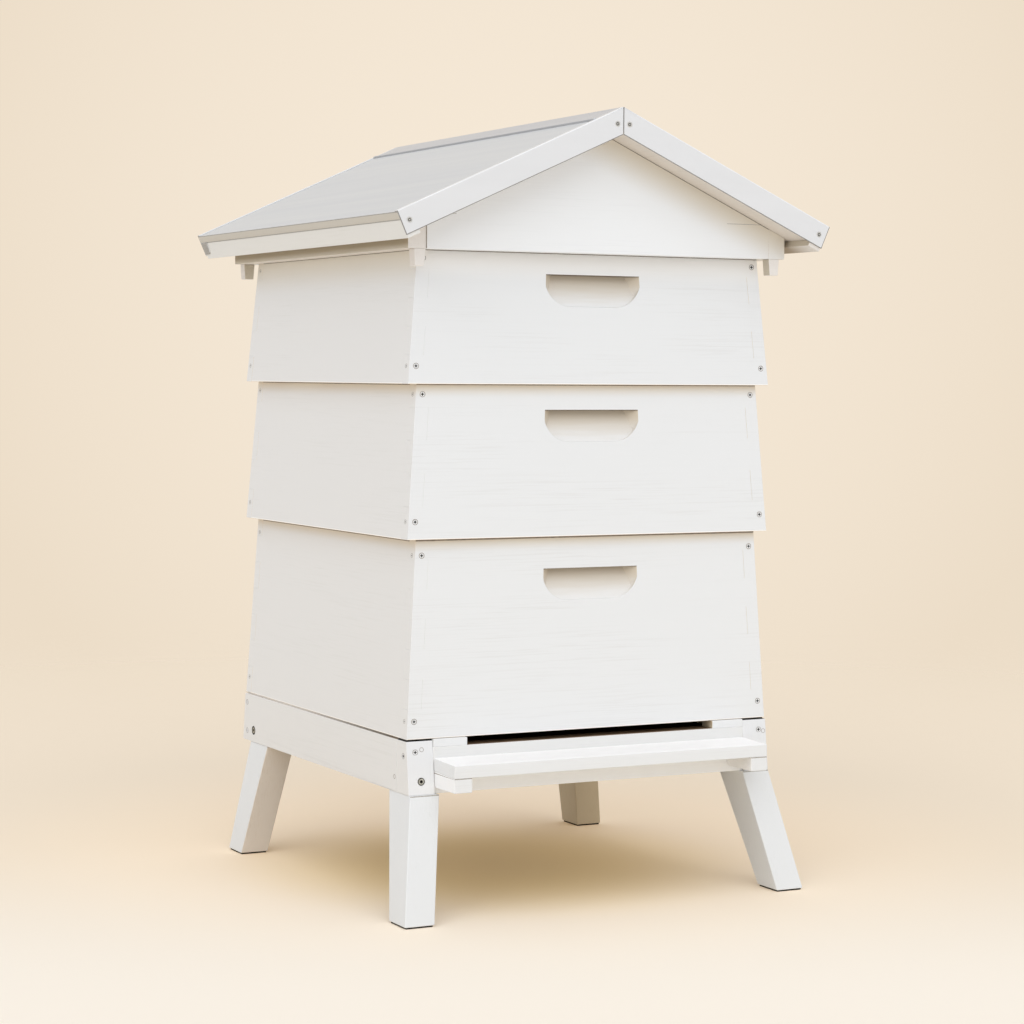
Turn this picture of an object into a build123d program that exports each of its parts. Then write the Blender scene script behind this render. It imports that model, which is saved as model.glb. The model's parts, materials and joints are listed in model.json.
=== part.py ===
from build123d import *

import math
import os

# A double-walled cottage beehive. Millimetres, +Z up, front towards -Y, left towards -X.
# The origin is on the ground, under the middle of the hive.

# Comb frames
frame_count = 10
frame_pitch = 38.0
top_bar_length = 432.0
top_bar_height = 10.0
bar_width = 22.0
lug_length = 38.0
side_bar_thickness = 10.0
bottom_bar_height = 10.0
brood_frame_height = 216.0
super_frame_height = 140.0
foundation_thickness = 2.0

# Inner boxes, excluder and crown board
bee_space = 7.0
frame_foot_gap = 2.0
box_side_play = 9.0
box_wall = 10.0
end_wall = 12.0
lug_clearance = 2.0
lug_rail = 12.0
lug_rail_height = 45.0
excluder_thickness = 10.0
excluder_bar = 20.0
wire_diameter = 2.2
wire_pitch = 6.4
wire_tie_width = 8.0
wire_tie_thickness = 1.5
wire_tie_spacing = 140.0
crown_thickness = 10.0
feed_hole_length = 76.0
feed_hole_width = 38.0
feed_hole_spacing = 220.0

# Outer lifts
cavity_x = 22.5
cavity_y = 12.5
lift_board = 18.0
overhang_x = 15.0
overhang_y = 8.0
lift_overlap = 12.0
lift_clearance = 1.0
lower_lift_height = 246.0
middle_lift_height = 191.0
upper_lift_height = 164.0
lower_fingers = 7
middle_fingers = 5
upper_fingers = 5

# Handholds, with the drop of each from the visible top of its lift
handhold_width = 138.0
handhold_height = 40.0
handhold_radius = 36.0
handhold_top_depth = 14.0
handhold_foot_depth = 1.5
handhold_end_slope = 1.0
lower_handhold_drop = 41.0
middle_handhold_drop = 32.0
upper_handhold_drop = 26.0

# Base frame
base_height = 68.0
base_ledge = 1.0
base_rake = 8.0
tongue_thickness = 8.0
tongue_height = 8.0
shadow_height = 2.0
shadow_depth = 3.0
post_width = 36.0
post_depth = 28.0
sill_proud = 2.0
slot_height = 10.3
slide_length = 46.5
slide_depth = 26.0
slide_clearance = 0.4
floor_thickness = 14.0
runner_height = 20.0
runner_width = 16.0
cleat_size = 20.0

# Landing board
landing_depth = 60.0
landing_thickness = 15.8
landing_fall = 2.0
landing_step = 13.6
landing_clearance = 0.5
bracket_width = 24.0
bracket_height = 18.0
bracket_round = 9.0

# Legs
glide_thickness = 2.0
glide_inset = 2.0
leg_height = 152.0
leg_top_width = 40.0
leg_top_depth = 62.0
leg_foot_width = 40.0
leg_foot_depth = 47.0
leg_inset_x = 1.0
leg_splay_x = 27.0
front_leg_proud = 2.0
front_leg_splay = 45.0
back_leg_inset = 27.0
back_leg_splay = 15.0
tenon_width = 18.0
tenon_depth = 18.0
tenon_height = 32.0
tenon_clearance = 0.2
tongue_depth = 26.0
tongue_room = 3.0

# Roof
roof_pitch = 24.2
roof_rail = 24.0
roof_rail_height = 28.0
gable_board = 18.0
gable_gap = 9.5
deck_thickness = 25.0
eave_overhang = 37.0
verge_overhang = 48.0
fascia_thickness = 18.0
fascia_depth = 33.5
sheet_thickness = 1.2
drip_lip = 10.0
trim_depth = 30.0
trim_flange = 6.0
trim_tab_length = 21.0
trim_tab_depth = 28.0
trim_tab_round = 8.0
mitre_gap = 0.3
cap_wing = 42.0
cap_hem = 4.0
cap_hem_thickness = 1.4
batten_width = 20.0
batten_height = 20.0
block_width = 16.0
block_depth = 15.0
block_drop = 21.0
block_taper = 1.5

# Fasteners
screw_head_radius = 3.4
screw_head_height = 1.6
screw_shank_radius = 2.0
screw_length = 45.0
screw_clearance = 0.1
recess_length = 4.0
recess_width = 1.1
recess_depth = 0.9
lower_screw_drop = 20.0
middle_screw_drop = 12.5
upper_screw_drop = 10.0
lift_screw_foot = 22.0
post_screw_inset = 11.5
post_screw_drop = 15.5
rail_screw_inset = 8.0
rail_screw_drop = 14.0
post_side_screw_drop = 20.5
trim_screw_length = 25.0
trim_screw_end = 11.0
trim_screw_ridge = 16.0
bolt_head_radius = 4.3
bolt_head_clearance = 0.7
bolt_head_height = 4.0
bolt_shank_radius = 3.5
bolt_socket_radius = 2.2
bolt_socket_depth = 2.5
bolt_rise = 16.5
side_bolt_from_back = 13.0

# Sizes worked out from the driving dimensions
box_inner_width = frame_count * frame_pitch + box_side_play
box_width = box_inner_width + 2 * box_wall
side_bar_span = top_bar_length - 2 * lug_length
box_inner_length = side_bar_span + 2 * bee_space
box_length = top_bar_length + 2 * (lug_clearance + lug_rail)
brood_box_height = bee_space + brood_frame_height + frame_foot_gap
super_box_height = bee_space + super_frame_height + frame_foot_gap

lift_top_x = box_width / 2 + cavity_x + lift_board
lift_top_y = box_length / 2 + cavity_y + lift_board
lift_foot_x = lift_top_x + overhang_x
lift_foot_y = lift_top_y + overhang_y
lip_inner_x = lift_top_x + lift_clearance
lip_inner_y = lift_top_y + lift_clearance

base_x = lift_foot_x + base_ledge
base_y = lift_foot_y + base_ledge
base_foot_y = base_y + base_rake
rail_inner_x = lift_top_x - tongue_thickness
back_rail_inner_y = lift_top_y - tongue_thickness
post_inner_x = base_x - post_width
post_back_y = base_y - post_depth
sill_y = base_y + sill_proud

base_z = glide_thickness + leg_height
lower_z = base_z + base_height
middle_z = lower_z + lower_lift_height
upper_z = middle_z + middle_lift_height
roof_z = upper_z + upper_lift_height
sill_z = lower_z - slot_height
floor_foot_z = sill_z - floor_thickness

brood_z = sill_z + runner_height
excluder_z = brood_z + brood_box_height
lower_super_z = excluder_z + excluder_thickness
upper_super_z = lower_super_z + super_box_height
crown_z = upper_super_z + super_box_height

pitch_cos = math.cos(math.radians(roof_pitch))
pitch_sin = math.sin(math.radians(roof_pitch))
pitch_tan = math.tan(math.radians(roof_pitch))
roof_rail_x = lip_inner_x + roof_rail
gable_inner_y = lift_top_y + gable_gap
gable_y = gable_inner_y + gable_board
verge_y = gable_y + verge_overhang
eave_run = (roof_rail_x + eave_overhang) / pitch_cos
roof_skin = sheet_thickness + deck_thickness
apex_z = roof_z + roof_rail_height + roof_rail_x * pitch_tan + roof_skin / pitch_cos


def block(x0, x1, y0, y1, z0, z1):
    """A box between two corners."""
    return Pos((x0 + x1) / 2, (y0 + y1) / 2, (z0 + z1) / 2) * Box(x1 - x0, y1 - y0, z1 - z0)


def prism_x(outline, x0, x1):
    """An outline of (y, z) points carried along X."""
    face = make_face(Polyline(*[(x0, y, z) for y, z in outline], close=True))
    return extrude(face, amount=x1 - x0, dir=(1, 0, 0))


def prism_y(outline, y0, y1):
    """An outline of (x, z) points carried along Y."""
    face = make_face(Polyline(*[(x, y0, z) for x, z in outline], close=True))
    return extrude(face, amount=y1 - y0, dir=(0, 1, 0))


def prism_z(outline, z0, z1):
    """An outline of (x, y) points carried along Z."""
    face = make_face(Polyline(*[(x, y, z0) for x, y in outline], close=True))
    return extrude(face, amount=z1 - z0, dir=(0, 0, 1))


def mirrored_x(shape):
    """The same piece on the other side of the hive."""
    return mirror(shape, about=Plane.YZ)


def both_sides(shape):
    """A piece and its mirror image."""
    return [shape, mirrored_x(shape)]


def outward(position, direction):
    """A plane at a point of a surface, with its Z axis out of the surface."""
    return Plane(origin=position, z_dir=direction)


def drill(position, direction, head_radius, head_height, shank_radius, length):
    """The hole that takes a headed fastener, open at the surface."""
    head = Pos(0, 0, -head_height) * extrude(Circle(head_radius), amount=2 * head_height)
    shank = Pos(0, 0, -length) * extrude(Circle(shank_radius), amount=length)
    return outward(position, direction) * (head + shank)


def wood_screw(position, direction, length):
    """A flush wood screw with a cross recess."""
    head = Pos(0, 0, -screw_head_height) * extrude(Circle(screw_head_radius), amount=screw_head_height)
    shank = Pos(0, 0, -length) * extrude(Circle(screw_shank_radius), amount=length - screw_head_height)
    recess = Box(recess_length, recess_width, 2 * recess_depth)
    recess = recess + Rot(0, 0, 90) * recess
    return outward(position, direction) * (head + shank - recess)


def screw_hole(position, direction, length):
    """The hole for a wood screw."""
    return drill(
        position,
        direction,
        screw_head_radius + screw_clearance,
        screw_head_height,
        screw_shank_radius + screw_clearance,
        length + screw_clearance,
    )


def leg_bolt(position, direction, length):
    """A socket-headed bolt that sits flush."""
    head = Pos(0, 0, -bolt_head_height) * extrude(Circle(bolt_head_radius), amount=bolt_head_height)
    shank = Pos(0, 0, -length) * extrude(Circle(bolt_shank_radius), amount=length - bolt_head_height)
    socket = Pos(0, 0, -bolt_socket_depth) * extrude(
        RegularPolygon(bolt_socket_radius, 6), amount=bolt_socket_depth
    )
    return outward(position, direction) * (head + shank - socket)


def bolt_hole(position, direction, length):
    """The hole for a leg bolt."""
    return drill(
        position,
        direction,
        bolt_head_radius + bolt_head_clearance,
        bolt_head_height,
        bolt_shank_radius + screw_clearance,
        length + screw_clearance,
    )


def cut_all(shape, cutters):
    """A piece with every cutter taken out of it."""
    for cutter in cutters:
        shape = shape - cutter
    return shape


# Legs, each a tapered and splayed post with a tenon or a bolted tongue above its shoulder

leg_top_outer_x = base_x - leg_inset_x
leg_top_inner_x = leg_top_outer_x - leg_top_width
leg_foot_outer_x = leg_top_outer_x + leg_splay_x
leg_foot_inner_x = leg_foot_outer_x - leg_foot_width


def leg_shaft(top_outer_y, foot_outer_y, side):
    """The right-hand shaft of a leg whose outer face looks to side (-1 front, 1 back) along Y."""
    across = [
        (leg_top_inner_x, base_z),
        (leg_top_outer_x, base_z),
        (leg_foot_outer_x, glide_thickness),
        (leg_foot_inner_x, glide_thickness),
    ]
    along = [
        (side * top_outer_y, base_z),
        (side * (top_outer_y - leg_top_depth), base_z),
        (side * (foot_outer_y - leg_foot_depth), glide_thickness),
        (side * foot_outer_y, glide_thickness),
    ]
    reach = foot_outer_y + leg_top_depth
    return prism_y(across, -reach, reach) & prism_x(along, 0, leg_foot_outer_x + leg_top_width)


front_leg_y = base_foot_y + front_leg_proud
front_foot_y = front_leg_y + front_leg_splay
back_leg_y = base_foot_y - back_leg_inset
back_foot_y = back_leg_y + back_leg_splay

# The front bolt is driven through the post into the tenon, the back one through the rail into the tongue.
front_bolt_z = base_z + bolt_rise
front_bolt_y = base_foot_y - base_rake * bolt_rise / base_height
front_bolt_at = (base_x - post_width / 2, -front_bolt_y, front_bolt_z)
tenon_x = front_bolt_at[0]
tenon_y = -(post_back_y + base_foot_y) / 2
front_bolt_length = front_bolt_y + tenon_y + tenon_depth / 2
tongue_top_z = floor_foot_z - tongue_room
tongue_y0 = back_leg_y - tongue_depth
back_bolt_at = (base_x, back_leg_y - side_bolt_from_back, base_z + bolt_rise)
back_bolt_length = base_x - leg_top_inner_x - tongue_room
front_bolt_hole = bolt_hole(front_bolt_at, (0, -1, 0), front_bolt_length)
back_bolt_hole = bolt_hole(back_bolt_at, (1, 0, 0), back_bolt_length)

tenon = block(
    tenon_x - tenon_width / 2,
    tenon_x + tenon_width / 2,
    tenon_y - tenon_depth / 2,
    tenon_y + tenon_depth / 2,
    base_z,
    base_z + tenon_height,
)
tongue = block(leg_top_inner_x, rail_inner_x, tongue_y0, back_leg_y, base_z, tongue_top_z)
leg_front = leg_shaft(front_leg_y, front_foot_y, -1) + tenon - front_bolt_hole
leg_back = leg_shaft(back_leg_y, back_foot_y, 1) + tongue - back_bolt_hole


def glide(y0, y1):
    """The thin pad under the right-hand foot between two Y lines."""
    return block(
        leg_foot_inner_x + glide_inset,
        leg_foot_outer_x - glide_inset,
        y0 + glide_inset,
        y1 - glide_inset,
        0,
        glide_thickness,
    )


foot_glides = both_sides(glide(-front_foot_y, leg_foot_depth - front_foot_y))
foot_glides += both_sides(glide(back_foot_y - leg_foot_depth, back_foot_y))
leg_bolts = both_sides(leg_bolt(front_bolt_at, (0, -1, 0), front_bolt_length))
leg_bolts += both_sides(leg_bolt(back_bolt_at, (1, 0, 0), back_bolt_length))

# Base frame: side rails, back rail, front posts and front rail, with a tongue that the lower lift fits over

tongue_z = lower_z + tongue_height
rail_profile = [
    (rail_inner_x, base_z),
    (base_x, base_z),
    (base_x, lower_z - shadow_height),
    (base_x - shadow_depth, lower_z - shadow_height),
    (base_x - shadow_depth, lower_z),
    (lift_top_x, lower_z),
    (lift_top_x, tongue_z),
    (rail_inner_x, tongue_z),
]
back_rail_profile = [
    (back_rail_inner_y, base_z),
    (base_foot_y, base_z),
    (base_y, lower_z - shadow_height),
    (base_y - shadow_depth, lower_z - shadow_height),
    (base_y - shadow_depth, lower_z),
    (lift_top_y, lower_z),
    (lift_top_y, tongue_z),
    (back_rail_inner_y, tongue_z),
]
rail_span = [
    (-post_back_y, base_z),
    (base_foot_y, base_z),
    (base_y, lower_z - shadow_height),
    (base_y - shadow_depth, lower_z - shadow_height),
    (base_y - shadow_depth, lower_z),
    (lift_top_y, lower_z),
    (lift_top_y, tongue_z),
    (-post_back_y, tongue_z),
]
post_span = [
    (-post_back_y, base_z),
    (-base_foot_y, base_z),
    (-base_y, lower_z - shadow_height),
    (shadow_depth - base_y, lower_z - shadow_height),
    (shadow_depth - base_y, lower_z),
    (-lift_top_y, lower_z),
    (-lift_top_y, tongue_z),
    (-post_back_y, tongue_z),
]
post_profile = [(post_inner_x, base_z)] + rail_profile[1:-1] + [(post_inner_x, tongue_z)]

mortise = block(
    tenon_x - tenon_width / 2 - tenon_clearance,
    tenon_x + tenon_width / 2 + tenon_clearance,
    tenon_y - tenon_depth / 2 - tenon_clearance,
    tenon_y + tenon_depth / 2 + tenon_clearance,
    base_z,
    base_z + tenon_height + tenon_clearance,
)

# Screws of the stand: one in each post face, one in each side face at the front, two at the back
post_screw_z = lower_z - post_screw_drop
post_face_y = base_y + base_rake * post_screw_drop / base_height
rail_screw_top_z = lower_z - rail_screw_drop
rail_screw_foot_z = base_z + rail_screw_drop
back_screw_y = base_y - rail_screw_inset
stand_screw_places = [
    ((base_x - post_screw_inset, -post_face_y, post_screw_z), (0, -1, 0)),
    ((base_x, rail_screw_inset - base_y, lower_z - post_side_screw_drop), (1, 0, 0)),
    ((base_x, back_screw_y, rail_screw_top_z), (1, 0, 0)),
    ((base_x, back_screw_y, rail_screw_foot_z), (1, 0, 0)),
]
stand_holes = [screw_hole(at, way, screw_length) for at, way in stand_screw_places]
front_holes = stand_holes[:2]
back_holes = stand_holes[2:]
stand_screws = []
for at, way in stand_screw_places:
    stand_screws += both_sides(wood_screw(at, way, screw_length))

reach_y = base_foot_y + leg_top_depth
side_rail = prism_y(rail_profile, -reach_y, reach_y) & prism_x(rail_span, rail_inner_x, base_x)
side_rail = cut_all(side_rail, [back_bolt_hole] + stand_holes)
front_post = prism_y(post_profile, -reach_y, reach_y) & prism_x(post_span, post_inner_x, base_x)
front_post = cut_all(front_post, [mortise, front_bolt_hole] + front_holes)
back_rail = prism_x(back_rail_profile, -rail_inner_x, rail_inner_x)
back_rail = cut_all(back_rail, back_holes + [mirrored_x(hole) for hole in back_holes])
front_rail = block(-post_inner_x, post_inner_x, -sill_y, -post_back_y, base_z, sill_z)
front_rail = cut_all(front_rail, front_holes + [mirrored_x(hole) for hole in front_holes])

# Hive floor on its cleats, and the runners that carry the brood box

floor_board = block(-rail_inner_x, rail_inner_x, -post_back_y, back_rail_inner_y, floor_foot_z, sill_z)
cleat = block(
    rail_inner_x - cleat_size,
    rail_inner_x,
    tongue_room - post_back_y,
    tongue_y0 - tongue_room,
    floor_foot_z - cleat_size,
    floor_foot_z,
)
runner_x = (box_inner_width + box_wall) / 2
runner = block(
    runner_x - runner_width / 2, runner_x + runner_width / 2, -box_length / 2, box_length / 2, sill_z, brood_z
)
floor_battens = both_sides(cleat) + both_sides(runner)

# Entrance slides on the sill, one against each post

slide_outer_x = post_inner_x - slide_clearance
slide_inner_x = slide_outer_x - slide_length
entrance_slide = block(
    slide_inner_x, slide_outer_x, -sill_y, slide_depth - sill_y, sill_z, lower_z - slide_clearance
)

# Landing board on its two brackets

landing_x = post_inner_x - landing_clearance
landing_front_y = sill_y + landing_depth
landing_z = sill_z - landing_step
landing_profile = [
    (-sill_y, landing_z),
    (-landing_front_y, landing_z - landing_fall),
    (-landing_front_y, landing_z - landing_fall - landing_thickness),
    (-sill_y, landing_z - landing_thickness),
]
landing_board = prism_x(landing_profile, -landing_x, landing_x)
bracket_z = landing_z - landing_fall - landing_thickness - bracket_height
bracket_profile = [
    (-sill_y, landing_z - landing_thickness),
    (-landing_front_y, landing_z - landing_fall - landing_thickness),
    (-landing_front_y, bracket_z),
    (-sill_y, bracket_z),
]
bracket = prism_x(bracket_profile, landing_x - bracket_width, landing_x)
rear_edge = bracket.edges().filter_by(Axis.X).group_by(Axis.Z)[0].sort_by(Axis.Y)[-1]
bracket = fillet(rear_edge, bracket_round)
landing_brackets = both_sides(bracket)


# Outer lifts

def handhold(face_y, lean, top_z):
    """A scooped handhold: a flat top, sloping ends, round lower corners and a floor that runs out below."""
    foot_z = top_z - handhold_height
    outline = Pos(0, -handhold_height / 2) * Rectangle(handhold_width, handhold_height)
    outline = fillet(outline.vertices().group_by(Axis.Y)[0], handhold_radius)
    top_y = face_y + lean * handhold_height
    plane = Plane(origin=(0, face_y - lift_board, top_z), x_dir=(1, 0, 0), z_dir=(0, -1, 0))
    scoop = extrude(plane * outline, amount=-3 * lift_board)
    floor = [
        (face_y - lift_board, foot_z),
        (face_y + handhold_foot_depth, foot_z),
        (top_y + handhold_top_depth, top_z),
        (face_y - lift_board, top_z),
    ]
    end_run = handhold_end_slope * lift_board
    outer_x = handhold_width / 2 + end_run
    inner_x = handhold_width / 2 - end_run
    ends = [
        (-outer_x, face_y - lift_board),
        (outer_x, face_y - lift_board),
        (inner_x, face_y + lift_board),
        (-inner_x, face_y + lift_board),
    ]
    return scoop & prism_x(floor, -handhold_width, handhold_width) & prism_z(ends, foot_z, top_z)


def lift(foot_z, height, fingers, handhold_drop, screw_drop):
    """Four splayed boards, finger-jointed at the corners, and their screws."""
    total = height + lift_overlap
    lean_x = overhang_x / height
    lean_y = overhang_y / height
    top_z = foot_z + total
    top_x = lift_foot_x - lean_x * total
    top_y = lift_foot_y - lean_y * total
    across = [(-lift_foot_x, foot_z), (lift_foot_x, foot_z), (top_x, top_z), (-top_x, top_z)]
    along = [(-lift_foot_y, foot_z), (lift_foot_y, foot_z), (top_y, top_z), (-top_y, top_z)]
    side_outline = [
        (lift_foot_x - lift_board, foot_z),
        (lift_foot_x, foot_z),
        (top_x, top_z),
        (top_x - lift_board, top_z),
    ]
    front_outline = [
        (lift_board - lift_foot_y, foot_z),
        (-lift_foot_y, foot_z),
        (-top_y, top_z),
        (lift_board - top_y, top_z),
    ]
    side_slab = prism_y(side_outline, -lift_foot_y, lift_foot_y)
    front_slab = prism_x(front_outline, -lift_foot_x, lift_foot_x)
    back_slab = mirror(front_slab, about=Plane.XZ)
    rebate = block(-lip_inner_x, lip_inner_x, -lip_inner_y, lip_inner_y, foot_z, foot_z + lift_overlap)
    step = total / fingers
    bands = []
    for number in range(fingers):
        band_z = foot_z + number * step
        bands.append(block(-lift_foot_x, lift_foot_x, -lift_foot_y, lift_foot_y, band_z, band_z + step))
    places = []
    for z in (lift_screw_foot, height - screw_drop):
        for x_side in (-1, 1):
            x = x_side * (lift_foot_x - lean_x * z - lift_board / 2)
            face_y = lift_foot_y - lean_y * z
            places.append(((x, -face_y, foot_z + z), (0, -1, 0)))
            places.append(((x, face_y, foot_z + z), (0, 1, 0)))
    holes = [screw_hole(at, way, screw_length) for at, way in places]
    screws = [wood_screw(at, way, screw_length) for at, way in places]

    front = front_slab & prism_y(across, -lift_foot_y, lift_foot_y)
    side = side_slab & prism_x(along, -lift_foot_x, lift_foot_x)
    both_side_slabs = [side_slab, mirrored_x(side_slab)]
    both_end_slabs = [front_slab, back_slab]
    for band in bands[1::2]:
        front = cut_all(front, [band & slab for slab in both_side_slabs])
    for band in bands[0::2]:
        side = cut_all(side, [band & slab for slab in both_end_slabs])
    front = front - rebate
    side = side - rebate
    hold_z = foot_z + height - handhold_drop
    hold_face_y = -(lift_foot_y - lean_y * (height - handhold_drop - handhold_height))
    front = front - handhold(hold_face_y, lean_y, hold_z)
    front = cut_all(front, [hole for hole, (at, way) in zip(holes, places) if at[1] < 0])
    side = cut_all(side, [hole for hole, (at, way) in zip(holes, places) if at[0] > 0])
    back = mirror(front, about=Plane.XZ)
    return front, back, mirrored_x(side), side, screws


# Inner boxes, frames, excluder and crown board

def box_walls(foot_z, height):
    """Two side walls, two low end walls that carry the frame lugs, and the rails that close the lug ends."""
    top_z = foot_z + height
    side = block(box_inner_width / 2, box_width / 2, -box_length / 2, box_length / 2, foot_z, top_z)
    end = block(
        -box_inner_width / 2,
        box_inner_width / 2,
        box_inner_length / 2,
        box_inner_length / 2 + end_wall,
        foot_z,
        top_z - bee_space - top_bar_height,
    )
    rail = block(
        -box_inner_width / 2,
        box_inner_width / 2,
        box_length / 2 - lug_rail,
        box_length / 2,
        top_z - lug_rail_height,
        top_z,
    )
    ends = [end, rail]
    return both_sides(side) + ends + [mirror(piece, about=Plane.XZ) for piece in ends]


def comb_frames(foot_z, box_height, frame_height):
    """The wooden bars and the wax foundation of one box of frames."""
    top_z = foot_z + box_height - bee_space
    low_z = top_z - frame_height
    under_bar_z = top_z - top_bar_height
    half = bar_width / 2
    inner_y = side_bar_span / 2 - side_bar_thickness
    bars = []
    sheets = []
    for number in range(frame_count):
        x = (number - (frame_count - 1) / 2) * frame_pitch
        bars.append(block(x - half, x + half, -top_bar_length / 2, top_bar_length / 2, under_bar_z, top_z))
        bars.append(block(x - half, x + half, inner_y, side_bar_span / 2, low_z, under_bar_z))
        bars.append(block(x - half, x + half, -side_bar_span / 2, -inner_y, low_z, under_bar_z))
        bars.append(block(x - half, x + half, -inner_y, inner_y, low_z, low_z + bottom_bar_height))
        sheets.append(
            block(
                x - foundation_thickness / 2,
                x + foundation_thickness / 2,
                -inner_y,
                inner_y,
                low_z + bottom_bar_height,
                under_bar_z,
            )
        )
    return bars, sheets


def excluder():
    """A flat wooden frame, and the wires and ties of its grid."""
    top_z = excluder_z + excluder_thickness
    inner_x = box_width / 2 - excluder_bar
    inner_y = box_length / 2 - excluder_bar
    side = block(inner_x, box_width / 2, -box_length / 2, box_length / 2, excluder_z, top_z)
    end = block(-inner_x, inner_x, inner_y, box_length / 2, excluder_z, top_z)
    bars = both_sides(side) + [end, mirror(end, about=Plane.XZ)]
    wire_z = excluder_z + excluder_thickness / 2
    wire_count = int((2 * inner_x - wire_diameter) / wire_pitch)
    wires = []
    for number in range(wire_count):
        x = (number - (wire_count - 1) / 2) * wire_pitch
        plane = Plane(origin=(x, -inner_y, wire_z), z_dir=(0, 1, 0))
        wires.append(extrude(plane * Circle(wire_diameter / 2), amount=2 * inner_y))
    tie_top_z = wire_z - wire_diameter / 2 - screw_clearance
    tie_count = int(2 * inner_y / wire_tie_spacing)
    for number in range(tie_count):
        y = (number - (tie_count - 1) / 2) * wire_tie_spacing
        wires.append(
            block(
                -inner_x,
                inner_x,
                y - wire_tie_width / 2,
                y + wire_tie_width / 2,
                tie_top_z - wire_tie_thickness,
                tie_top_z,
            )
        )
    return bars, wires


crown_board = block(
    -box_width / 2, box_width / 2, -box_length / 2, box_length / 2, crown_z, crown_z + crown_thickness
)
for hole_y in (-feed_hole_spacing / 2, feed_hole_spacing / 2):
    feed_hole = Pos(0, hole_y, crown_z) * SlotOverall(feed_hole_length, feed_hole_width)
    crown_board = crown_board - extrude(feed_hole, amount=crown_thickness)


# Roof. A point of a slope is given by its run down the slope from the ridge and its depth under the sheet.

def slope(run, depth):
    """The (x, z) point of the right-hand slope."""
    return (run * pitch_cos - depth * pitch_sin, apex_z - run * pitch_sin - depth * pitch_cos)


def ridge(depth, x=0.0):
    """The (x, z) point of the right-hand slope beside the ridge."""
    return (x, apex_z - depth / pitch_cos - x * pitch_tan)


deck_run = eave_run - sheet_thickness - fascia_thickness
deck_profile = [
    ridge(sheet_thickness),
    ridge(roof_skin),
    slope(deck_run, roof_skin),
    slope(deck_run, sheet_thickness),
]
fascia_profile = [
    slope(deck_run, sheet_thickness),
    slope(deck_run, sheet_thickness + fascia_depth),
    slope(eave_run - sheet_thickness, sheet_thickness + fascia_depth),
    slope(eave_run - sheet_thickness, sheet_thickness),
]
sheet_profile = [
    ridge(0, mitre_gap),
    ridge(sheet_thickness, mitre_gap),
    slope(eave_run - sheet_thickness, sheet_thickness),
    slope(eave_run - sheet_thickness, drip_lip),
    slope(eave_run, drip_lip),
    slope(eave_run, 0),
]
trim_profile = [
    ridge(-sheet_thickness, mitre_gap),
    ridge(trim_depth, mitre_gap),
    slope(eave_run, trim_depth),
    slope(eave_run, -sheet_thickness),
]
flange_profile = [
    ridge(-sheet_thickness, mitre_gap),
    ridge(0, mitre_gap),
    slope(eave_run, 0),
    slope(eave_run, -sheet_thickness),
]
cap_top = sheet_thickness + cap_hem_thickness
cap_profile = [
    ridge(-sheet_thickness),
    slope(cap_wing - cap_hem, -sheet_thickness),
    slope(cap_wing - cap_hem, -cap_top),
    slope(cap_wing, -cap_top),
    slope(cap_wing, 0),
    ridge(0),
]

trim_screw_depth = trim_depth / 2
trim_screw_places = []
for run in (trim_screw_ridge, eave_run - trim_screw_end):
    screw_x, screw_z = slope(run, trim_screw_depth)
    trim_screw_places.append((screw_x, -verge_y - sheet_thickness, screw_z))
trim_holes = [screw_hole(at, (0, -1, 0), trim_screw_length) for at in trim_screw_places]
front_trim_screws = []
for at in trim_screw_places:
    front_trim_screws += both_sides(wood_screw(at, (0, -1, 0), trim_screw_length))
roof_screws = front_trim_screws + [mirror(screw, about=Plane.XZ) for screw in front_trim_screws]
roof_holes = trim_holes + [mirror(hole, about=Plane.XZ) for hole in trim_holes]

roof_deck = cut_all(prism_y(deck_profile, -verge_y, verge_y), roof_holes)
eave_fascia = cut_all(prism_y(fascia_profile, -verge_y, verge_y), roof_holes)
roof_sheet = prism_y(sheet_profile, -verge_y, verge_y)
trim_face = prism_y(trim_profile, -verge_y - sheet_thickness, -verge_y)
trim_top = prism_y(flange_profile, -verge_y, trim_flange - verge_y)
verge_trim = cut_all(trim_face + trim_top, trim_holes)

# The back trims are folded round the corner onto the fascia; the tab stops short of the drip lip.
tab_profile = [
    slope(eave_run - sheet_thickness, drip_lip + mitre_gap),
    slope(eave_run, drip_lip + mitre_gap),
    slope(eave_run, trim_tab_depth),
    slope(eave_run - sheet_thickness, trim_tab_depth),
]
trim_tab = prism_y(tab_profile, verge_y - trim_tab_length, verge_y)
tab_edges = trim_tab.edges().group_by(Axis.Y)[0].filter_by(lambda edge: edge.length < 2 * sheet_thickness)
trim_tab = fillet(tab_edges.sort_by(Axis.Z)[0], trim_tab_round)
back_trim = mirror(verge_trim, about=Plane.XZ) + trim_tab
cap_half = prism_y(cap_profile, trim_flange - verge_y, verge_y - trim_flange)
ridge_cap = cap_half + mirrored_x(cap_half)

roof_rail_profile = [
    (lip_inner_x, roof_z),
    (roof_rail_x, roof_z),
    ridge(roof_skin, roof_rail_x),
    ridge(roof_skin, lip_inner_x),
]
roof_side_rail = prism_y(roof_rail_profile, -gable_y, gable_y)
gable_profile = [
    (-lip_inner_x, roof_z),
    (lip_inner_x, roof_z),
    ridge(roof_skin, lip_inner_x),
    ridge(roof_skin),
    (-lip_inner_x, ridge(roof_skin, lip_inner_x)[1]),
]
gable_front = prism_y(gable_profile, -gable_y, -gable_inner_y)
batten_z = roof_z + lift_overlap
roof_batten = block(
    lip_inner_x - batten_width, lip_inner_x, -gable_inner_y, gable_inner_y, batten_z, batten_z + batten_height
)

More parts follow.
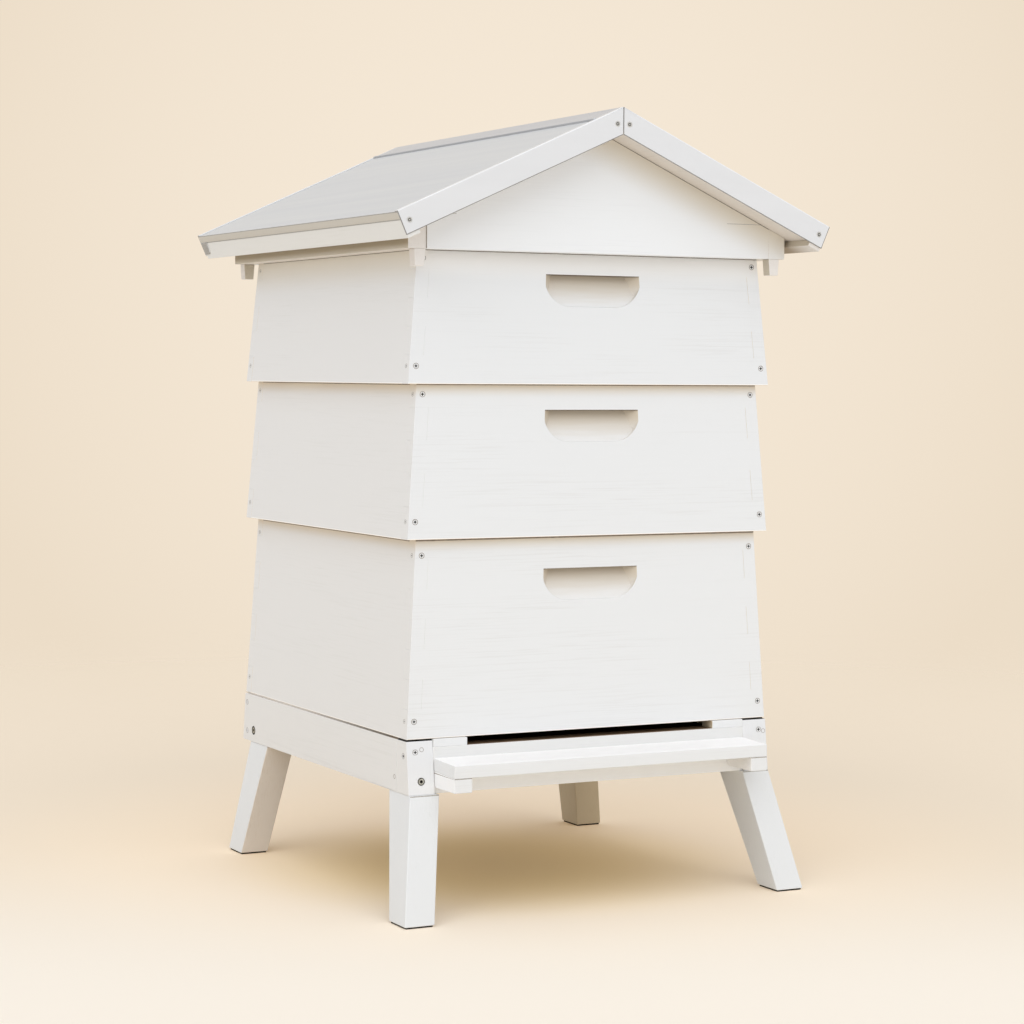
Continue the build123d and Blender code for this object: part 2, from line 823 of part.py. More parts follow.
# Blocks that hang outside the top lift and keep the roof in line; their inner faces follow its splay.
upper_lean = overhang_x / upper_lift_height
block_outer_x = lip_inner_x + block_width
block_profile = [
    (lip_inner_x, roof_z),
    (block_outer_x, roof_z),
    (block_outer_x - block_taper, roof_z - block_drop),
    (lip_inner_x + upper_lean * block_drop, roof_z - block_drop),
]
roof_block = prism_y(block_profile, -gable_y, block_depth - gable_y)
roof_blocks = both_sides(roof_block)
roof_blocks += [mirror(piece, about=Plane.XZ) for piece in roof_blocks]

# Every piece under its own name

pieces = {
    "leg_front_left": [mirrored_x(leg_front)],
    "leg_front_right": [leg_front],
    "leg_back_left": [mirrored_x(leg_back)],
    "leg_back_right": [leg_back],
    "foot_glides": foot_glides,
    "leg_bolts": leg_bolts,
    "side_rail_left": [mirrored_x(side_rail)],
    "side_rail_right": [side_rail],
    "front_post_left": [mirrored_x(front_post)],
    "front_post_right": [front_post],
    "back_rail": [back_rail],
    "front_rail": [front_rail],
    "stand_screws": stand_screws,
    "floor_board": [floor_board],
    "floor_battens": floor_battens,
    "landing_board": [landing_board],
    "landing_brackets": landing_brackets,
    "entrance_slide_left": [mirrored_x(entrance_slide)],
    "entrance_slide_right": [entrance_slide],
    "crown_board": [crown_board],
    "gable_front": [gable_front],
    "gable_back": [mirror(gable_front, about=Plane.XZ)],
    "roof_side_rails": both_sides(roof_side_rail),
    "roof_battens": both_sides(roof_batten),
    "roof_blocks": roof_blocks,
    "roof_deck_left": [mirrored_x(roof_deck)],
    "roof_deck_right": [roof_deck],
    "eave_fascias": both_sides(eave_fascia),
    "roof_sheet_left": [mirrored_x(roof_sheet)],
    "roof_sheet_right": [roof_sheet],
    "ridge_cap": [ridge_cap],
    "verge_trim_front": both_sides(verge_trim),
    "verge_trim_back": both_sides(back_trim),
    "roof_screws": roof_screws,
}
lifts = {
    "lower": (lower_z, lower_lift_height, lower_fingers, lower_handhold_drop, lower_screw_drop),
    "middle": (middle_z, middle_lift_height, middle_fingers, middle_handhold_drop, middle_screw_drop),
    "upper": (upper_z, upper_lift_height, upper_fingers, upper_handhold_drop, upper_screw_drop),
}
for name, sizes in lifts.items():
    front, back, left, right, screws = lift(*sizes)
    pieces[f"{name}_lift_front"] = [front]
    pieces[f"{name}_lift_back"] = [back]
    pieces[f"{name}_lift_left"] = [left]
    pieces[f"{name}_lift_right"] = [right]
    pieces[f"{name}_lift_screws"] = screws

boxes = {
    "brood": (brood_z, brood_box_height, brood_frame_height),
    "lower_super": (lower_super_z, super_box_height, super_frame_height),
    "upper_super": (upper_super_z, super_box_height, super_frame_height),
}
for name, (foot_z, height, frame_height) in boxes.items():
    bars, sheets = comb_frames(foot_z, height, frame_height)
    pieces[f"{name}_box"] = box_walls(foot_z, height)
    pieces[f"{name}_frames"] = bars
    pieces[f"{name}_foundation"] = sheets
pieces["queen_excluder_frame"], pieces["queen_excluder_wires"] = excluder()

os.makedirs("parts", exist_ok=True)
for name, shapes in pieces.items():
    solids = [solid for shape in shapes for solid in shape.solids()]
    whole = solids[0] if len(solids) == 1 else Compound(solids)
    export_step(whole, f"parts/{name}.step")
print(len(pieces), "pieces, height", round(apex_z + sheet_thickness / pitch_cos, 1))
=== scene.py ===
# %% [markdown]
# # A white cottage beehive
#
# A double-walled hive: three splayed outer boxes, called lifts, stand on a base with four legs under a
# ridged metal roof, and the boxes with the comb frames are hidden inside. The CAD model already gives every
# board its place. This lesson gives each board its softened edges and its finish, and then lights the hive
# and sets a camera on it.

import json
import math

import bmesh
import bpy
from mathutils import Matrix, Vector
from mathutils.bvhtree import BVHTree


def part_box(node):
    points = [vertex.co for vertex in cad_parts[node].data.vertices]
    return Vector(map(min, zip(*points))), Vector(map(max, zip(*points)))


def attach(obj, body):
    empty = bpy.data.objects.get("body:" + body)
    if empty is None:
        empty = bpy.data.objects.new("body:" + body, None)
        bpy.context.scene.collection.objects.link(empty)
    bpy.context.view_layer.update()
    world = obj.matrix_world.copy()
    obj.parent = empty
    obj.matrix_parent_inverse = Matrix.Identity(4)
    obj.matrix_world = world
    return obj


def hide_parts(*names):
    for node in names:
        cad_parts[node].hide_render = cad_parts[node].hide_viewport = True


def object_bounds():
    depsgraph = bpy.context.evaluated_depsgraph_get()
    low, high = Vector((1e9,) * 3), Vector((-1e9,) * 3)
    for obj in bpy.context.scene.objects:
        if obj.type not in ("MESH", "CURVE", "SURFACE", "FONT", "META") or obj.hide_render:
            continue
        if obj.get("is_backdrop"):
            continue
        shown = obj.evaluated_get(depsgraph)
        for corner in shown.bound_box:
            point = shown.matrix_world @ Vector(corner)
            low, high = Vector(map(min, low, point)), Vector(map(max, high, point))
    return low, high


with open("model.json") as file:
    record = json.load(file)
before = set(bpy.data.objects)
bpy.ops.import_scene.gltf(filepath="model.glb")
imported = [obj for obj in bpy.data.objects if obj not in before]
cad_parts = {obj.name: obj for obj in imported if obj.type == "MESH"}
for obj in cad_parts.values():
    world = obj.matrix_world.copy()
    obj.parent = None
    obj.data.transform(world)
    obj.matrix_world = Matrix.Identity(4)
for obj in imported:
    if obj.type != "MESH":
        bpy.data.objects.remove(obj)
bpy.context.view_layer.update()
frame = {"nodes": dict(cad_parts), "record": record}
nodes = frame["nodes"]
bodies = frame["record"]["behaviour"]["bodies"]
body_of_node = {node: body for body, members in bodies.items() for node in members}
slot_of_node = {name: piece.material_slots[0].material.name for name, piece in nodes.items()}
MM = 0.001

# %% [markdown]
# ## Colours and nodes
#
# Paint charts give colours as sRGB hex values, and a shader wants linear light, so one function converts
# them. Every material below is a small tree of nodes. It could be clicked together in the editor. A script
# needs only one helper for that: it adds a node, sets its own options, and fills or links its sockets.

# %% A colour converter and a node helper
def linear(hex_colour):
    """The linear RGBA of an sRGB hex colour such as EAE9E6."""
    parts = [int(hex_colour[i:i + 2], 16) / 255 for i in (0, 2, 4)]
    return [p / 12.92 if p <= 0.04045 else ((p + 0.055) / 1.055) ** 2.4 for p in parts] + [1.0]


def fill(tree, node, inputs):
    """Gives each socket a number or a colour, or links it to another node's output."""
    for socket, value in inputs.items():
        if isinstance(value, bpy.types.NodeSocket):
            tree.links.new(value, node.inputs[socket])
        else:
            node.inputs[socket].default_value = value


def add(tree, kind, inputs=None, **options):
    """Adds a node, sets its options and fills its sockets."""
    node = tree.nodes.new(kind)
    for name, value in options.items():
        setattr(node, name, value)
    fill(tree, node, inputs or {})
    return node


def new_material(name, **sockets):
    """A named material, its node tree and its shader, with the values that are the same all over."""
    material = bpy.data.materials.new(name)
    material.use_nodes = True
    shader = material.node_tree.nodes["Principled BSDF"]
    fill(material.node_tree, shader, {socket.replace("_", " "): value for socket, value in sockets.items()})
    return material, material.node_tree, shader


print("white paint in linear light:", [round(c, 3) for c in linear("EAE9E6")])

# %% [markdown]
# ## From one tone to another
#
# Dust thickens towards a corner, and dark grain stands between pale: again and again one tone turns into
# another while a measure grows, be it a distance or the value of a noise. A Map Range node makes a share
# from 0 to 1 of that growth, and a Mix node blends the tones by it. A Mix node has sockets of the same name
# for each type of data, so they are called by number: 2 and 3 are for plain numbers, 4 and 5 for vectors,
# 6 and 7 for colours.

# %% A tone that turns into another
def turning(tree, measure, reach, first, second, step="LINEAR"):
    """The first tone, which turns into the second while a measure grows across its reach."""
    growth = {"Value": measure, "From Min": reach[0], "From Max": reach[1]}
    share = add(tree, "ShaderNodeMapRange", growth, interpolation_type=step)
    tones = {"Factor": share.outputs["Result"], 6: first, 7: second}
    return add(tree, "ShaderNodeMix", tones, data_type="RGBA").outputs[2]


print("helper made:", turning.__name__)

# %% [markdown]
# ## Where the grain runs
#
# Softwood shows streaks that are long along the board and thin across it. A noise texture makes them if its
# coordinates are squeezed: one unit is a streak's length along the grain and its width across it. Object
# coordinates are used because every piece keeps its place in its mesh, so the streaks stay put when a lift
# is raised. Front boards run along x, side boards along y, and legs along z.

# %% Coordinates that follow the grain
def along_grain(tree, grain, length, width):
    """Object coordinates in which a streak of that length and width, in metres, is one unit."""
    scale = [1 / width] * 3
    scale["xyz".index(grain)] = 1 / length
    place = add(tree, "ShaderNodeTexCoord").outputs["Object"]
    return add(tree, "ShaderNodeMapping", {"Vector": place, "Scale": scale}).outputs["Vector"]


print("helper made:", along_grain.__name__)

# %% [markdown]
# ## White exterior paint
#
# The outside is pine under an opaque white satin paint. The paint hides the colour of the wood, but the
# harder winter grain still stands a few hundredths of a millimetre proud, and the brush leaves its own
# marks. The eye sees faint streaks that come and go along the board, and a soft sheen. A fine streak noise
# drives colour, roughness and bump together, and a broad patch noise fades it in and out. Where a place
# asks for it, the same paint fades over a given distance into a darker, warmer tone as painted shade, or
# into a lighter one as painted light: under the eaves, below the foot of each lift and in grooves.

# %% White paint with its grain, and a fade into painted shade or painted light
STREAK_LENGTH = 110 * MM
STREAK_WIDTH = 2.4 * MM
STREAK_EDGE = (0.5, 0.72)
PATCH_LENGTH = 220 * MM
PATCH_WIDTH = 40 * MM
PATCH_EDGE = (0.42, 0.66)
LEAST_SHOWN = 0.1
SATIN = (0.46, 0.6)
STREAK_RELIEF = 0.12 * MM


def white_paint(name, grain, shades, painted_fade=None):
    """White satin paint on pine with its grain along x, y or z.

    A painted fade, which is painted shade or painted light, has a tone, and grows along a direction from its
    start to its end, both measured from the origin.
    """
    material, tree, shader = new_material(f"{name}_{grain}", Specular_IOR_Level=0.4)
    fine = along_grain(tree, grain, STREAK_LENGTH, STREAK_WIDTH)
    broad = along_grain(tree, grain, PATCH_LENGTH, PATCH_WIDTH)
    streaks = add(
        tree, "ShaderNodeTexNoise", {"Vector": fine, "Scale": 1.0, "Detail": 3.0, "Roughness": 0.65}
    )
    patches = add(tree, "ShaderNodeTexNoise", {"Vector": broad, "Scale": 1.0, "Detail": 2.0})
    sharpened = {"Value": streaks.outputs["Fac"], "From Min": STREAK_EDGE[0], "From Max": STREAK_EDGE[1]}
    sharp = add(tree, "ShaderNodeMapRange", sharpened).outputs["Result"]
    faded = {"Value": patches.outputs["Fac"], "From Min": PATCH_EDGE[0], "From Max": PATCH_EDGE[1]}
    shown = add(tree, "ShaderNodeMapRange", {**faded, "To Min": LEAST_SHOWN}).outputs["Result"]
    mask = add(tree, "ShaderNodeMath", {0: shown, 1: sharp}, operation="MULTIPLY").outputs["Value"]
    tones = {"Factor": mask, 6: linear(shades[0]), 7: linear(shades[1])}
    colour = add(tree, "ShaderNodeMix", tones, data_type="RGBA").outputs[2]
    if painted_fade is not None:
        tone, direction, start, end = painted_fade
        place = add(tree, "ShaderNodeTexCoord").outputs["Object"]
        distance = add(tree, "ShaderNodeVectorMath", {0: place, 1: direction}, operation="DOT_PRODUCT")
        colour = turning(tree, distance.outputs["Value"], (start, end), colour, tone, "SMOOTHSTEP")
    gloss = add(tree, "ShaderNodeMapRange", {"Value": mask, "To Min": SATIN[0], "To Max": SATIN[1]})
    relief = add(
        tree, "ShaderNodeBump", {"Height": mask, "Strength": 0.35, "Distance": STREAK_RELIEF}, invert=True
    )
    fill(tree, shader, {"Base Color": colour, "Roughness": gloss.outputs["Result"]})
    fill(tree, shader, {"Normal": relief.outputs["Normal"]})
    return material


print("streaks", round(STREAK_WIDTH / MM, 1), "mm wide and", round(STREAK_LENGTH / MM), "mm long")

# %% [markdown]
# ## Paint in sun, shade and dust
#
# One tin painted the whole hive. Here each place gets its own copy of the paint, lighter as painted light
# and darker and warmer as painted shade, and each copy has two close shades of the same paint, which the
# streaks then mix.

# %% The white paint, once for each grain direction and each place
# The y shades, for faces that look sideways, are a touch darker and warmer than the x shades: painted shade
# on the sides.
PAINT_SHADES = {"x": ("E9E9E8", "E2E1DF"), "y": ("E7E5E2", "E3E1DD"), "z": ("E8E8E8", "E4E4E3")}
EAVE_SHADES = ("C8BDAA", "BDB098")
paint = {grain: white_paint("white_satin_paint", grain, PAINT_SHADES[grain]) for grain in "xyz"}
# A painted highlight along the lower edges of the lifts.
foot_highlight_paint = white_paint("painted_highlight_on_the_lower_edges", "x", ("FDF9F3", "FAF5EE"))
# Painted light on the landing's top and on the brackets' sides.
landing_light_paint = white_paint("painted_light_on_the_landing", "x", ("FAF9F8", "F5F4F2"))
sill_paint = white_paint("white_paint_on_the_sill", "x", ("E6E5E2", "E1E0DC"))
# Painted light on the front rail, which lies in the landing's shade.
front_rail_light_paint = white_paint("painted_light_on_the_front_rail", "x", ("FCFBF9", "F7F6F4"))
# Darker, warmer copies as painted shade: on the legs, on the inner faces of the back legs under the hive,
# darkest on the right, and on the fascias, roof blocks, soffit and eaves.
leg_paint = white_paint("white_paint_on_the_legs", "z", ("E5E6E6", "E0E1E0"))
painted_shade = white_paint("painted_shade_on_the_back_legs", "z", ("E4DACE", "DCD0C1"))
deep_leg_shade_paint = white_paint("darker_painted_shade_on_a_back_leg", "z", ("D6C5A6", "CBB998"))
fascia_paint = white_paint("white_paint_on_the_fascias", "y", ("E7E4DE", "E2DED7"))
block_paint = white_paint("painted_shade_on_the_roof_blocks", "y", ("EEE8E1", "E6DFD6"))
soffit_paint = white_paint("painted_shade_on_the_soffit", "y", ("E2DAD1", "DAD1C6"))
eave_paint = white_paint("painted_shade_under_the_eaves", "y", EAVE_SHADES)
print("paints:", [material.name for material in bpy.data.materials if "paint" in material.name])

# %% [markdown]
# ## Bare pine
#
# Inside, nothing is painted, because the bees live there. Planed pine shows pale spring wood and amber
# winter wood in bands a few millimetres apart, which wander along the board. A wave texture in rings about
# the grain's direction gives the bands of a log, and its distortion makes them wander. The rings are
# centred outside the board, as the heart of a log is. The floor that the bees walk in on is the same wood,
# dark with their wax and resin, and made darker still and dull as painted shade for the dim inside of the
# hive. The top of the sill is brown as painted shade inside the entrance slot, and the slides' ends are
# stained.

# %% Bare pine, once for each grain direction
PINE_SPRING = linear("E6CDA3")
PINE_WINTER = linear("CDA772")
RING_SPACING = 8 * MM
HEART_OFFSET = (0.31, 0.33, -0.29)
LOG_STRETCH = 0.12
# A Wave texture of scale 1 repeats over this length.
WAVE_PERIOD = 2 * math.pi / 20
FIBRE_LENGTH = 60 * MM
FIBRE_WIDTH = 0.9 * MM
FIBRE_SHARE = 0.45
BAND_EDGE = (0.25, 0.95)
PLANED = (0.7, 0.55)
BAND_RELIEF = 0.15 * MM


def bare_pine(name, grain, spring, winter, shine=0.3):
    """Planed, unpainted pine whose grain runs along x, y or z."""
    material, tree, shader = new_material(f"{name}_{grain}", Specular_IOR_Level=shine)
    place = add(tree, "ShaderNodeTexCoord").outputs["Object"]
    stretch = [1.0, 1.0, 1.0]
    stretch["xyz".index(grain)] = LOG_STRETCH
    log = add(tree, "ShaderNodeMapping", {"Vector": place, "Location": HEART_OFFSET, "Scale": stretch})
    wander = {"Distortion": 16.0, "Detail": 2.0, "Detail Scale": 0.5}
    rings = add(
        tree,
        "ShaderNodeTexWave",
        {"Vector": log.outputs["Vector"], "Scale": WAVE_PERIOD / RING_SPACING, **wander},
        wave_type="RINGS",
        rings_direction=grain.upper(),
    )
    strands = along_grain(tree, grain, FIBRE_LENGTH, FIBRE_WIDTH)
    fibre = add(tree, "ShaderNodeTexNoise", {"Vector": strands, "Scale": 1.0, "Detail": 2.0})
    both = {"Factor": FIBRE_SHARE, 2: rings.outputs["Fac"], 3: fibre.outputs["Fac"]}
    bands = add(tree, "ShaderNodeMix", both).outputs[0]
    growth = {"Value": bands, "From Min": BAND_EDGE[0], "From Max": BAND_EDGE[1]}
    gloss = add(tree, "ShaderNodeMapRange", {**growth, "To Min": PLANED[0], "To Max": PLANED[1]})
    relief = add(tree, "ShaderNodeBump", {"Height": bands, "Strength": 0.3, "Distance": BAND_RELIEF})
    fill(tree, shader, {"Base Color": turning(tree, bands, BAND_EDGE, spring, winter)})
    fill(tree, shader, {"Roughness": gloss.outputs["Result"], "Normal": relief.outputs["Normal"]})
    return material


pine = {grain: bare_pine("planed_bare_pine", grain, PINE_SPRING, PINE_WINTER) for grain in "xyz"}
# Painted shade: the floor is almost black and dull, for the little light inside the hive.
floor_shade_pine = bare_pine("pine_darkened_by_the_bees", "x", linear("3A2A1C"), linear("261B12"), shine=0.0)
# Painted shade: brown on the sill's top, inside the entrance slot.
slot_shade_pine = bare_pine("pine_worn_by_the_bees", "x", linear("8A735C"), linear("6E5844"), shine=0.1)
stained_pine = bare_pine("pine_stained_by_the_bees", "x", linear("D6C6AA"), linear("C2AE8E"))
print("pines:", [material.name for material in bpy.data.materials if "pine" in material.name])

# %% [markdown]
# ## Plywood
#
# The crown board closes the top box. It is a sheet of birch plywood: pale faces with a quiet grain, and
# edges with thin dark and light layers. The layers need no separate faces. A wave along z shows only where
# the surface runs up and down, which is on the edges, since a whole face lies at one height.

# %% Birch plywood
PLY_FACE = linear("E2CBA2")
PLY_DARK = linear("BF9762")
PLY_LAYER = 4 * MM
LAYER_SHARE = 0.4
PLY_EDGE = (0.2, 0.9)
VENEER_LENGTH = 180 * MM
VENEER_WIDTH = 5 * MM

plywood, tree, shader = new_material("birch_plywood", Roughness=0.6, Specular_IOR_Level=0.3)
strands = along_grain(tree, "y", VENEER_LENGTH, VENEER_WIDTH)
veneer = add(
    tree, "ShaderNodeTexNoise", {"Vector": strands, "Scale": 1.0, "Detail": 4.0, "Distortion": 0.4}
)
place = add(tree, "ShaderNodeTexCoord").outputs["Object"]
layers = add(
    tree, "ShaderNodeTexWave", {"Vector": place, "Scale": WAVE_PERIOD / PLY_LAYER}, bands_direction="Z"
)
both = {"Factor": LAYER_SHARE, 2: veneer.outputs["Fac"], 3: layers.outputs["Fac"]}
layered = add(tree, "ShaderNodeMix", both).outputs[0]
fill(tree, shader, {"Base Color": turning(tree, layered, PLY_EDGE, PLY_FACE, PLY_DARK)})
print("made", plywood.name)

# %% [markdown]
# ## Wax foundation
#
# Each comb frame holds a sheet of beeswax with the bottoms of the cells pressed into it. The cells are
# hexagons about 5.3 mm across. They could be modelled, but there are tens of thousands, so they are drawn.
# A hexagon grid is two rectangular grids, one shifted by half a cell: whichever centre is nearer owns the
# point, and the distance from it in the directions of the six sides gives the cell walls.

# %% Beeswax with pressed cells
CELL_ACROSS = 5.3 * MM
GRID = Vector((1.0, 1.0, math.sqrt(3)))
HALF_GRID = (0.0, 0.5, math.sqrt(3) / 2)
SIDE_NORMAL = (0.0, 0.5, math.sqrt(3) / 2)
WALL_EDGE = (0.36, 0.48)
WALL_RELIEF = 0.6 * MM
WAX_CELL = linear("E0AF52")
WAX_WALL = linear("C98F35")

beeswax, tree, shader = new_material(
    "pressed_beeswax", Roughness=0.42, Subsurface_Weight=0.15, Subsurface_Scale=2 * MM
)
place = add(tree, "ShaderNodeTexCoord").outputs["Object"]
per_cell = {0: place, 1: (0.0, 1 / CELL_ACROSS, 1 / CELL_ACROSS)}
cells = add(tree, "ShaderNodeVectorMath", per_cell, operation="MULTIPLY").outputs[0]
shifted = add(tree, "ShaderNodeVectorMath", {0: cells, 1: HALF_GRID}, operation="SUBTRACT").outputs[0]
spots = []
distances = []
for grid in (cells, shifted):
    about_centre = {0: grid, 1: GRID / 2, 2: -GRID / 2}
    spots.append(add(tree, "ShaderNodeVectorMath", about_centre, operation="WRAP").outputs[0])
    away = add(tree, "ShaderNodeVectorMath", {0: spots[-1]}, operation="LENGTH")
    distances.append(away.outputs["Value"])
nearer = add(tree, "ShaderNodeMath", {0: distances[1], 1: distances[0]}, operation="LESS_THAN")
either = {"Factor": nearer.outputs["Value"], 4: spots[0], 5: spots[1]}
own = add(tree, "ShaderNodeMix", either, data_type="VECTOR").outputs[1]
folded = add(tree, "ShaderNodeVectorMath", {0: own}, operation="ABSOLUTE").outputs[0]
slanted = add(tree, "ShaderNodeVectorMath", {0: folded, 1: SIDE_NORMAL}, operation="DOT_PRODUCT")
across = add(tree, "ShaderNodeSeparateXYZ", {0: folded}).outputs["Y"]
reach = add(tree, "ShaderNodeMath", {0: slanted.outputs["Value"], 1: across}, operation="MAXIMUM")
growth = {"Value": reach.outputs["Value"], "From Min": WALL_EDGE[0], "From Max": WALL_EDGE[1]}
wall = add(tree, "ShaderNodeMapRange", growth).outputs["Result"]
colour = add(tree, "ShaderNodeMix", {"Factor": wall, 6: WAX_CELL, 7: WAX_WALL}, data_type="RGBA")
relief = add(tree, "ShaderNodeBump", {"Height": wall, "Strength": 0.8, "Distance": WALL_RELIEF})
fill(tree, shader, {"Base Color": colour.outputs[2], "Normal": relief.outputs["Normal"]})
print("made", beeswax.name, "with cells", round(CELL_ACROSS / MM, 1), "mm across")

# %% [markdown]
# ## Metal on the roof
#
# The roof sheets and the ridge cap are thin aluminium with a matt grey coating, and the strips along the
# gable ends are the same metal with a paler satin coating. A coating scatters light as paint does, so the
# shader isn't metallic. The rolling leaves long faint bands, a little lighter or darker and a little
# glossier, and they are what tells the eye that this is sheet and not board. A dull dark grey paints the
# shade along some edges of the strips, and marks the joint at their mitre.

# %% Coated sheet metal, and a dark grey for shaded edges and joints
ROLL_BAND = 22 * MM
ROLL_LENGTH = 900 * MM
GLOSS_EDGE = (0.3, 0.7)
GRIT = 0.8 * MM
GRIT_RELIEF = 0.05 * MM
# A noise seldom leaves this part of its range, so it mixes two shades fully.
CLOUD_EDGE = (0.35, 0.65)


def coated_metal(name, shades, satin, grain):
    """Coated sheet metal in a light and a dark shade, with rolling bands along x, y or z."""
    material, tree, shader = new_material(name, Specular_IOR_Level=0.5)
    bands = along_grain(tree, grain, ROLL_LENGTH, ROLL_BAND)
    rolled = add(tree, "ShaderNodeTexNoise", {"Vector": bands, "Scale": 1.0, "Detail": 3.0}).outputs["Fac"]
    place = add(tree, "ShaderNodeTexCoord").outputs["Object"]
    grit = add(tree, "ShaderNodeTexNoise", {"Vector": place, "Scale": 1 / GRIT, "Detail": 1.0})
    growth = {"Value": rolled, "From Min": GLOSS_EDGE[0], "From Max": GLOSS_EDGE[1]}
    gloss = add(tree, "ShaderNodeMapRange", {**growth, "To Min": satin[0], "To Max": satin[1]})
    relief = add(
        tree, "ShaderNodeBump", {"Height": grit.outputs["Fac"], "Strength": 0.1, "Distance": GRIT_RELIEF}
    )
    colour = turning(tree, rolled, CLOUD_EDGE, linear(shades[0]), linear(shades[1]))
    fill(tree, shader, {"Base Color": colour, "Roughness": gloss.outputs["Result"]})
    fill(tree, shader, {"Normal": relief.outputs["Normal"]})
    return material


MATT = (0.42, 0.48)
roof_metal = coated_metal("matt_grey_coated_aluminium", ("D1D3D4", "CED0D2"), MATT, "y")
trim_metal = coated_metal("pale_satin_coated_aluminium", ("E2E1E0", "E0DFDE"), (0.34, 0.38), "x")
# Dark grey for painted shade under the strips' edges and at the eaves, and for the joint at the mitre.
shade_and_joint_metal = coated_metal("cut_edge_of_aluminium", ("8F8C88", "7C7975"), (0.4, 0.5), "x")
print("made", roof_metal.name, trim_metal.name, shade_and_joint_metal.name)

# %% [markdown]
# ## Zinc, rubber, filler, grime and dirt
#
# Screws, bolts and the excluder's wires are zinc-plated steel: a real metal, so the shader is fully metallic
# and its colour is the colour of its reflections, with a cloudy bloom. The feet stand on dark rubber pads,
# and the roof's screws on grey rubber washers, both dull and slightly mottled. Filled screw holes show as
# small rings of filler, a touch greyer than the paint, and the same grey paints shade in grooves, under
# some edges and on the trims' tabs. Grime settles in every joint that is painted but not filled, and also
# paints thin lines of shade, and black dirt lies in the deepest gaps, and also paints the shade in recesses
# and grooves.

# %% Zinc-plated steel, rubber, filler, grime and dirt
def mottled(name, shades, spot, **sockets):
    """A material that wavers between two shades in spots of that size, in metres."""
    material, tree, shader = new_material(name, **sockets)
    place = add(tree, "ShaderNodeTexCoord").outputs["Object"]
    spots = add(tree, "ShaderNodeTexNoise", {"Vector": place, "Scale": 1 / spot, "Detail": 3.0})
    colour = turning(tree, spots.outputs["Fac"], CLOUD_EDGE, linear(shades[0]), linear(shades[1]))
    fill(tree, shader, {"Base Color": colour})
    return material


zinc = mottled("zinc_plated_steel", ("E3EAF2", "CBD4DE"), 2 * MM, Metallic=1.0, Roughness=0.42)
old_zinc = mottled("weathered_zinc", ("CBCCC6", "B0B1AA"), 2 * MM, Metallic=1.0, Roughness=0.5)
rubber = mottled("dark_rubber_pad", ("3A332B", "2B251E"), 4 * MM, Roughness=0.9, Specular_IOR_Level=0.1)
# Wood filler, and painted shade in grooves, under edges and on the trims' tabs.
filler_and_shade = mottled("grey_wood_filler", ("B4AFA8", "9C978F"), 1.5 * MM, Roughness=0.7)
# Grime in joints, and thin lines of painted shade.
grime_and_shade = mottled("grime_in_a_painted_joint", ("9A8E80", "857A6D"), 6 * MM, Roughness=0.8)
# Dirt in gaps, and painted shade in recesses, grooves and round the bolts.
dirt_and_shade = mottled("dirt_in_a_gap", ("2E2B28", "1E1C1A"), 1 * MM, Roughness=0.9)
washer = mottled("grey_sealing_washer", ("62605E", "545250"), 1 * MM, Roughness=0.8)
print("made", zinc.name, old_zinc.name, rubber.name, filler_and_shade.name, grime_and_shade.name, dirt_and_shade.name, washer.name)

# %% [markdown]
# ## Boards with softened edges
#
# A planed board never has a razor edge: the arris is taken off with a stroke of sandpaper, and paint rounds
# it further. That narrow round is what catches the light along every board. The CAD solids have sharp
# edges, so each visible board is copied, its loose triangles are merged and cleaned, and a Bevel modifier
# rounds it. Bevel weights tell the modifier how much: long edges get the full width, the short edges of
# finger joints only a part of it, and the tiny edges round the screw holes none.

# %% A clean copy of a CAD piece, and how far its edges are rounded
MERGE_DISTANCE = 0.005 * MM
FLAT_ANGLE = math.radians(0.5)
SHARP_ANGLE = math.radians(28)
HOLE_EDGE = 2.4 * MM


def clean_copy(node):
    """The mesh of a CAD piece with its triangles merged into whole faces, as a bmesh."""
    shape = bmesh.new()
    shape.from_mesh(nodes[node].data)
    bmesh.ops.remove_doubles(shape, verts=shape.verts, dist=MERGE_DISTANCE)
    bmesh.ops.dissolve_limit(shape, angle_limit=FLAT_ANGLE, verts=shape.verts, edges=shape.edges)
    return shape


def fully(edge):
    return 1.0


def edge_weight(edge, share):
    """How much of the full width an edge is rounded by: nothing at holes and in curves, else its share."""
    if not edge.is_manifold or edge.calc_length() < HOLE_EDGE or edge.calc_face_angle() < SHARP_ANGLE:
        return 0.0
    return share(edge)


print("edges from", round(HOLE_EDGE / MM, 1), "mm long are rounded")

# %% [markdown]
# ## From a mesh to a piece of the hive
#
# A piece could be shaded smooth as a whole, but then its flat boards would look inflated. So faces are
# smooth only where they bend a little from one to the next, as in a handhold. Each piece rides on its body,
# so that it rises with its lift.

# %% Pieces that ride on their bodies
CURVE_ANGLE = math.radians(1)
ROUND_STEPS = 2


def smooth_curves(shape):
    """Shades faces smoothly where they bend a little from one to the next, and leaves flat boards flat."""
    for edge in shape.edges:
        edge.smooth = edge.calc_face_angle(0.0) < SHARP_ANGLE
    for face in shape.faces:
        face.smooth = any(CURVE_ANGLE < edge.calc_face_angle(0.0) < SHARP_ANGLE for edge in face.edges)


def put_in_scene(name, shape, materials, body):
    """Makes a piece of a bmesh: smooth where it is round, riding on its body, with its materials."""
    mesh = bpy.data.meshes.new(name)
    smooth_curves(shape)
    shape.to_mesh(mesh)
    shape.free()
    for material in materials:
        mesh.materials.append(material)
    piece = bpy.data.objects.new(name, mesh)
    bpy.context.scene.collection.objects.link(piece)
    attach(piece, body)
    return piece


def round_edges(piece, width):
    """Rounds the weighted edges of a piece to that width, in metres."""
    bevel = piece.modifiers.new("rounded_edges", "BEVEL")
    bevel.width = width
    bevel.segments = ROUND_STEPS
    bevel.limit_method = "WEIGHT"
    bevel.use_clamp_overlap = False
    return piece


print("a rounded edge has", ROUND_STEPS, "steps")

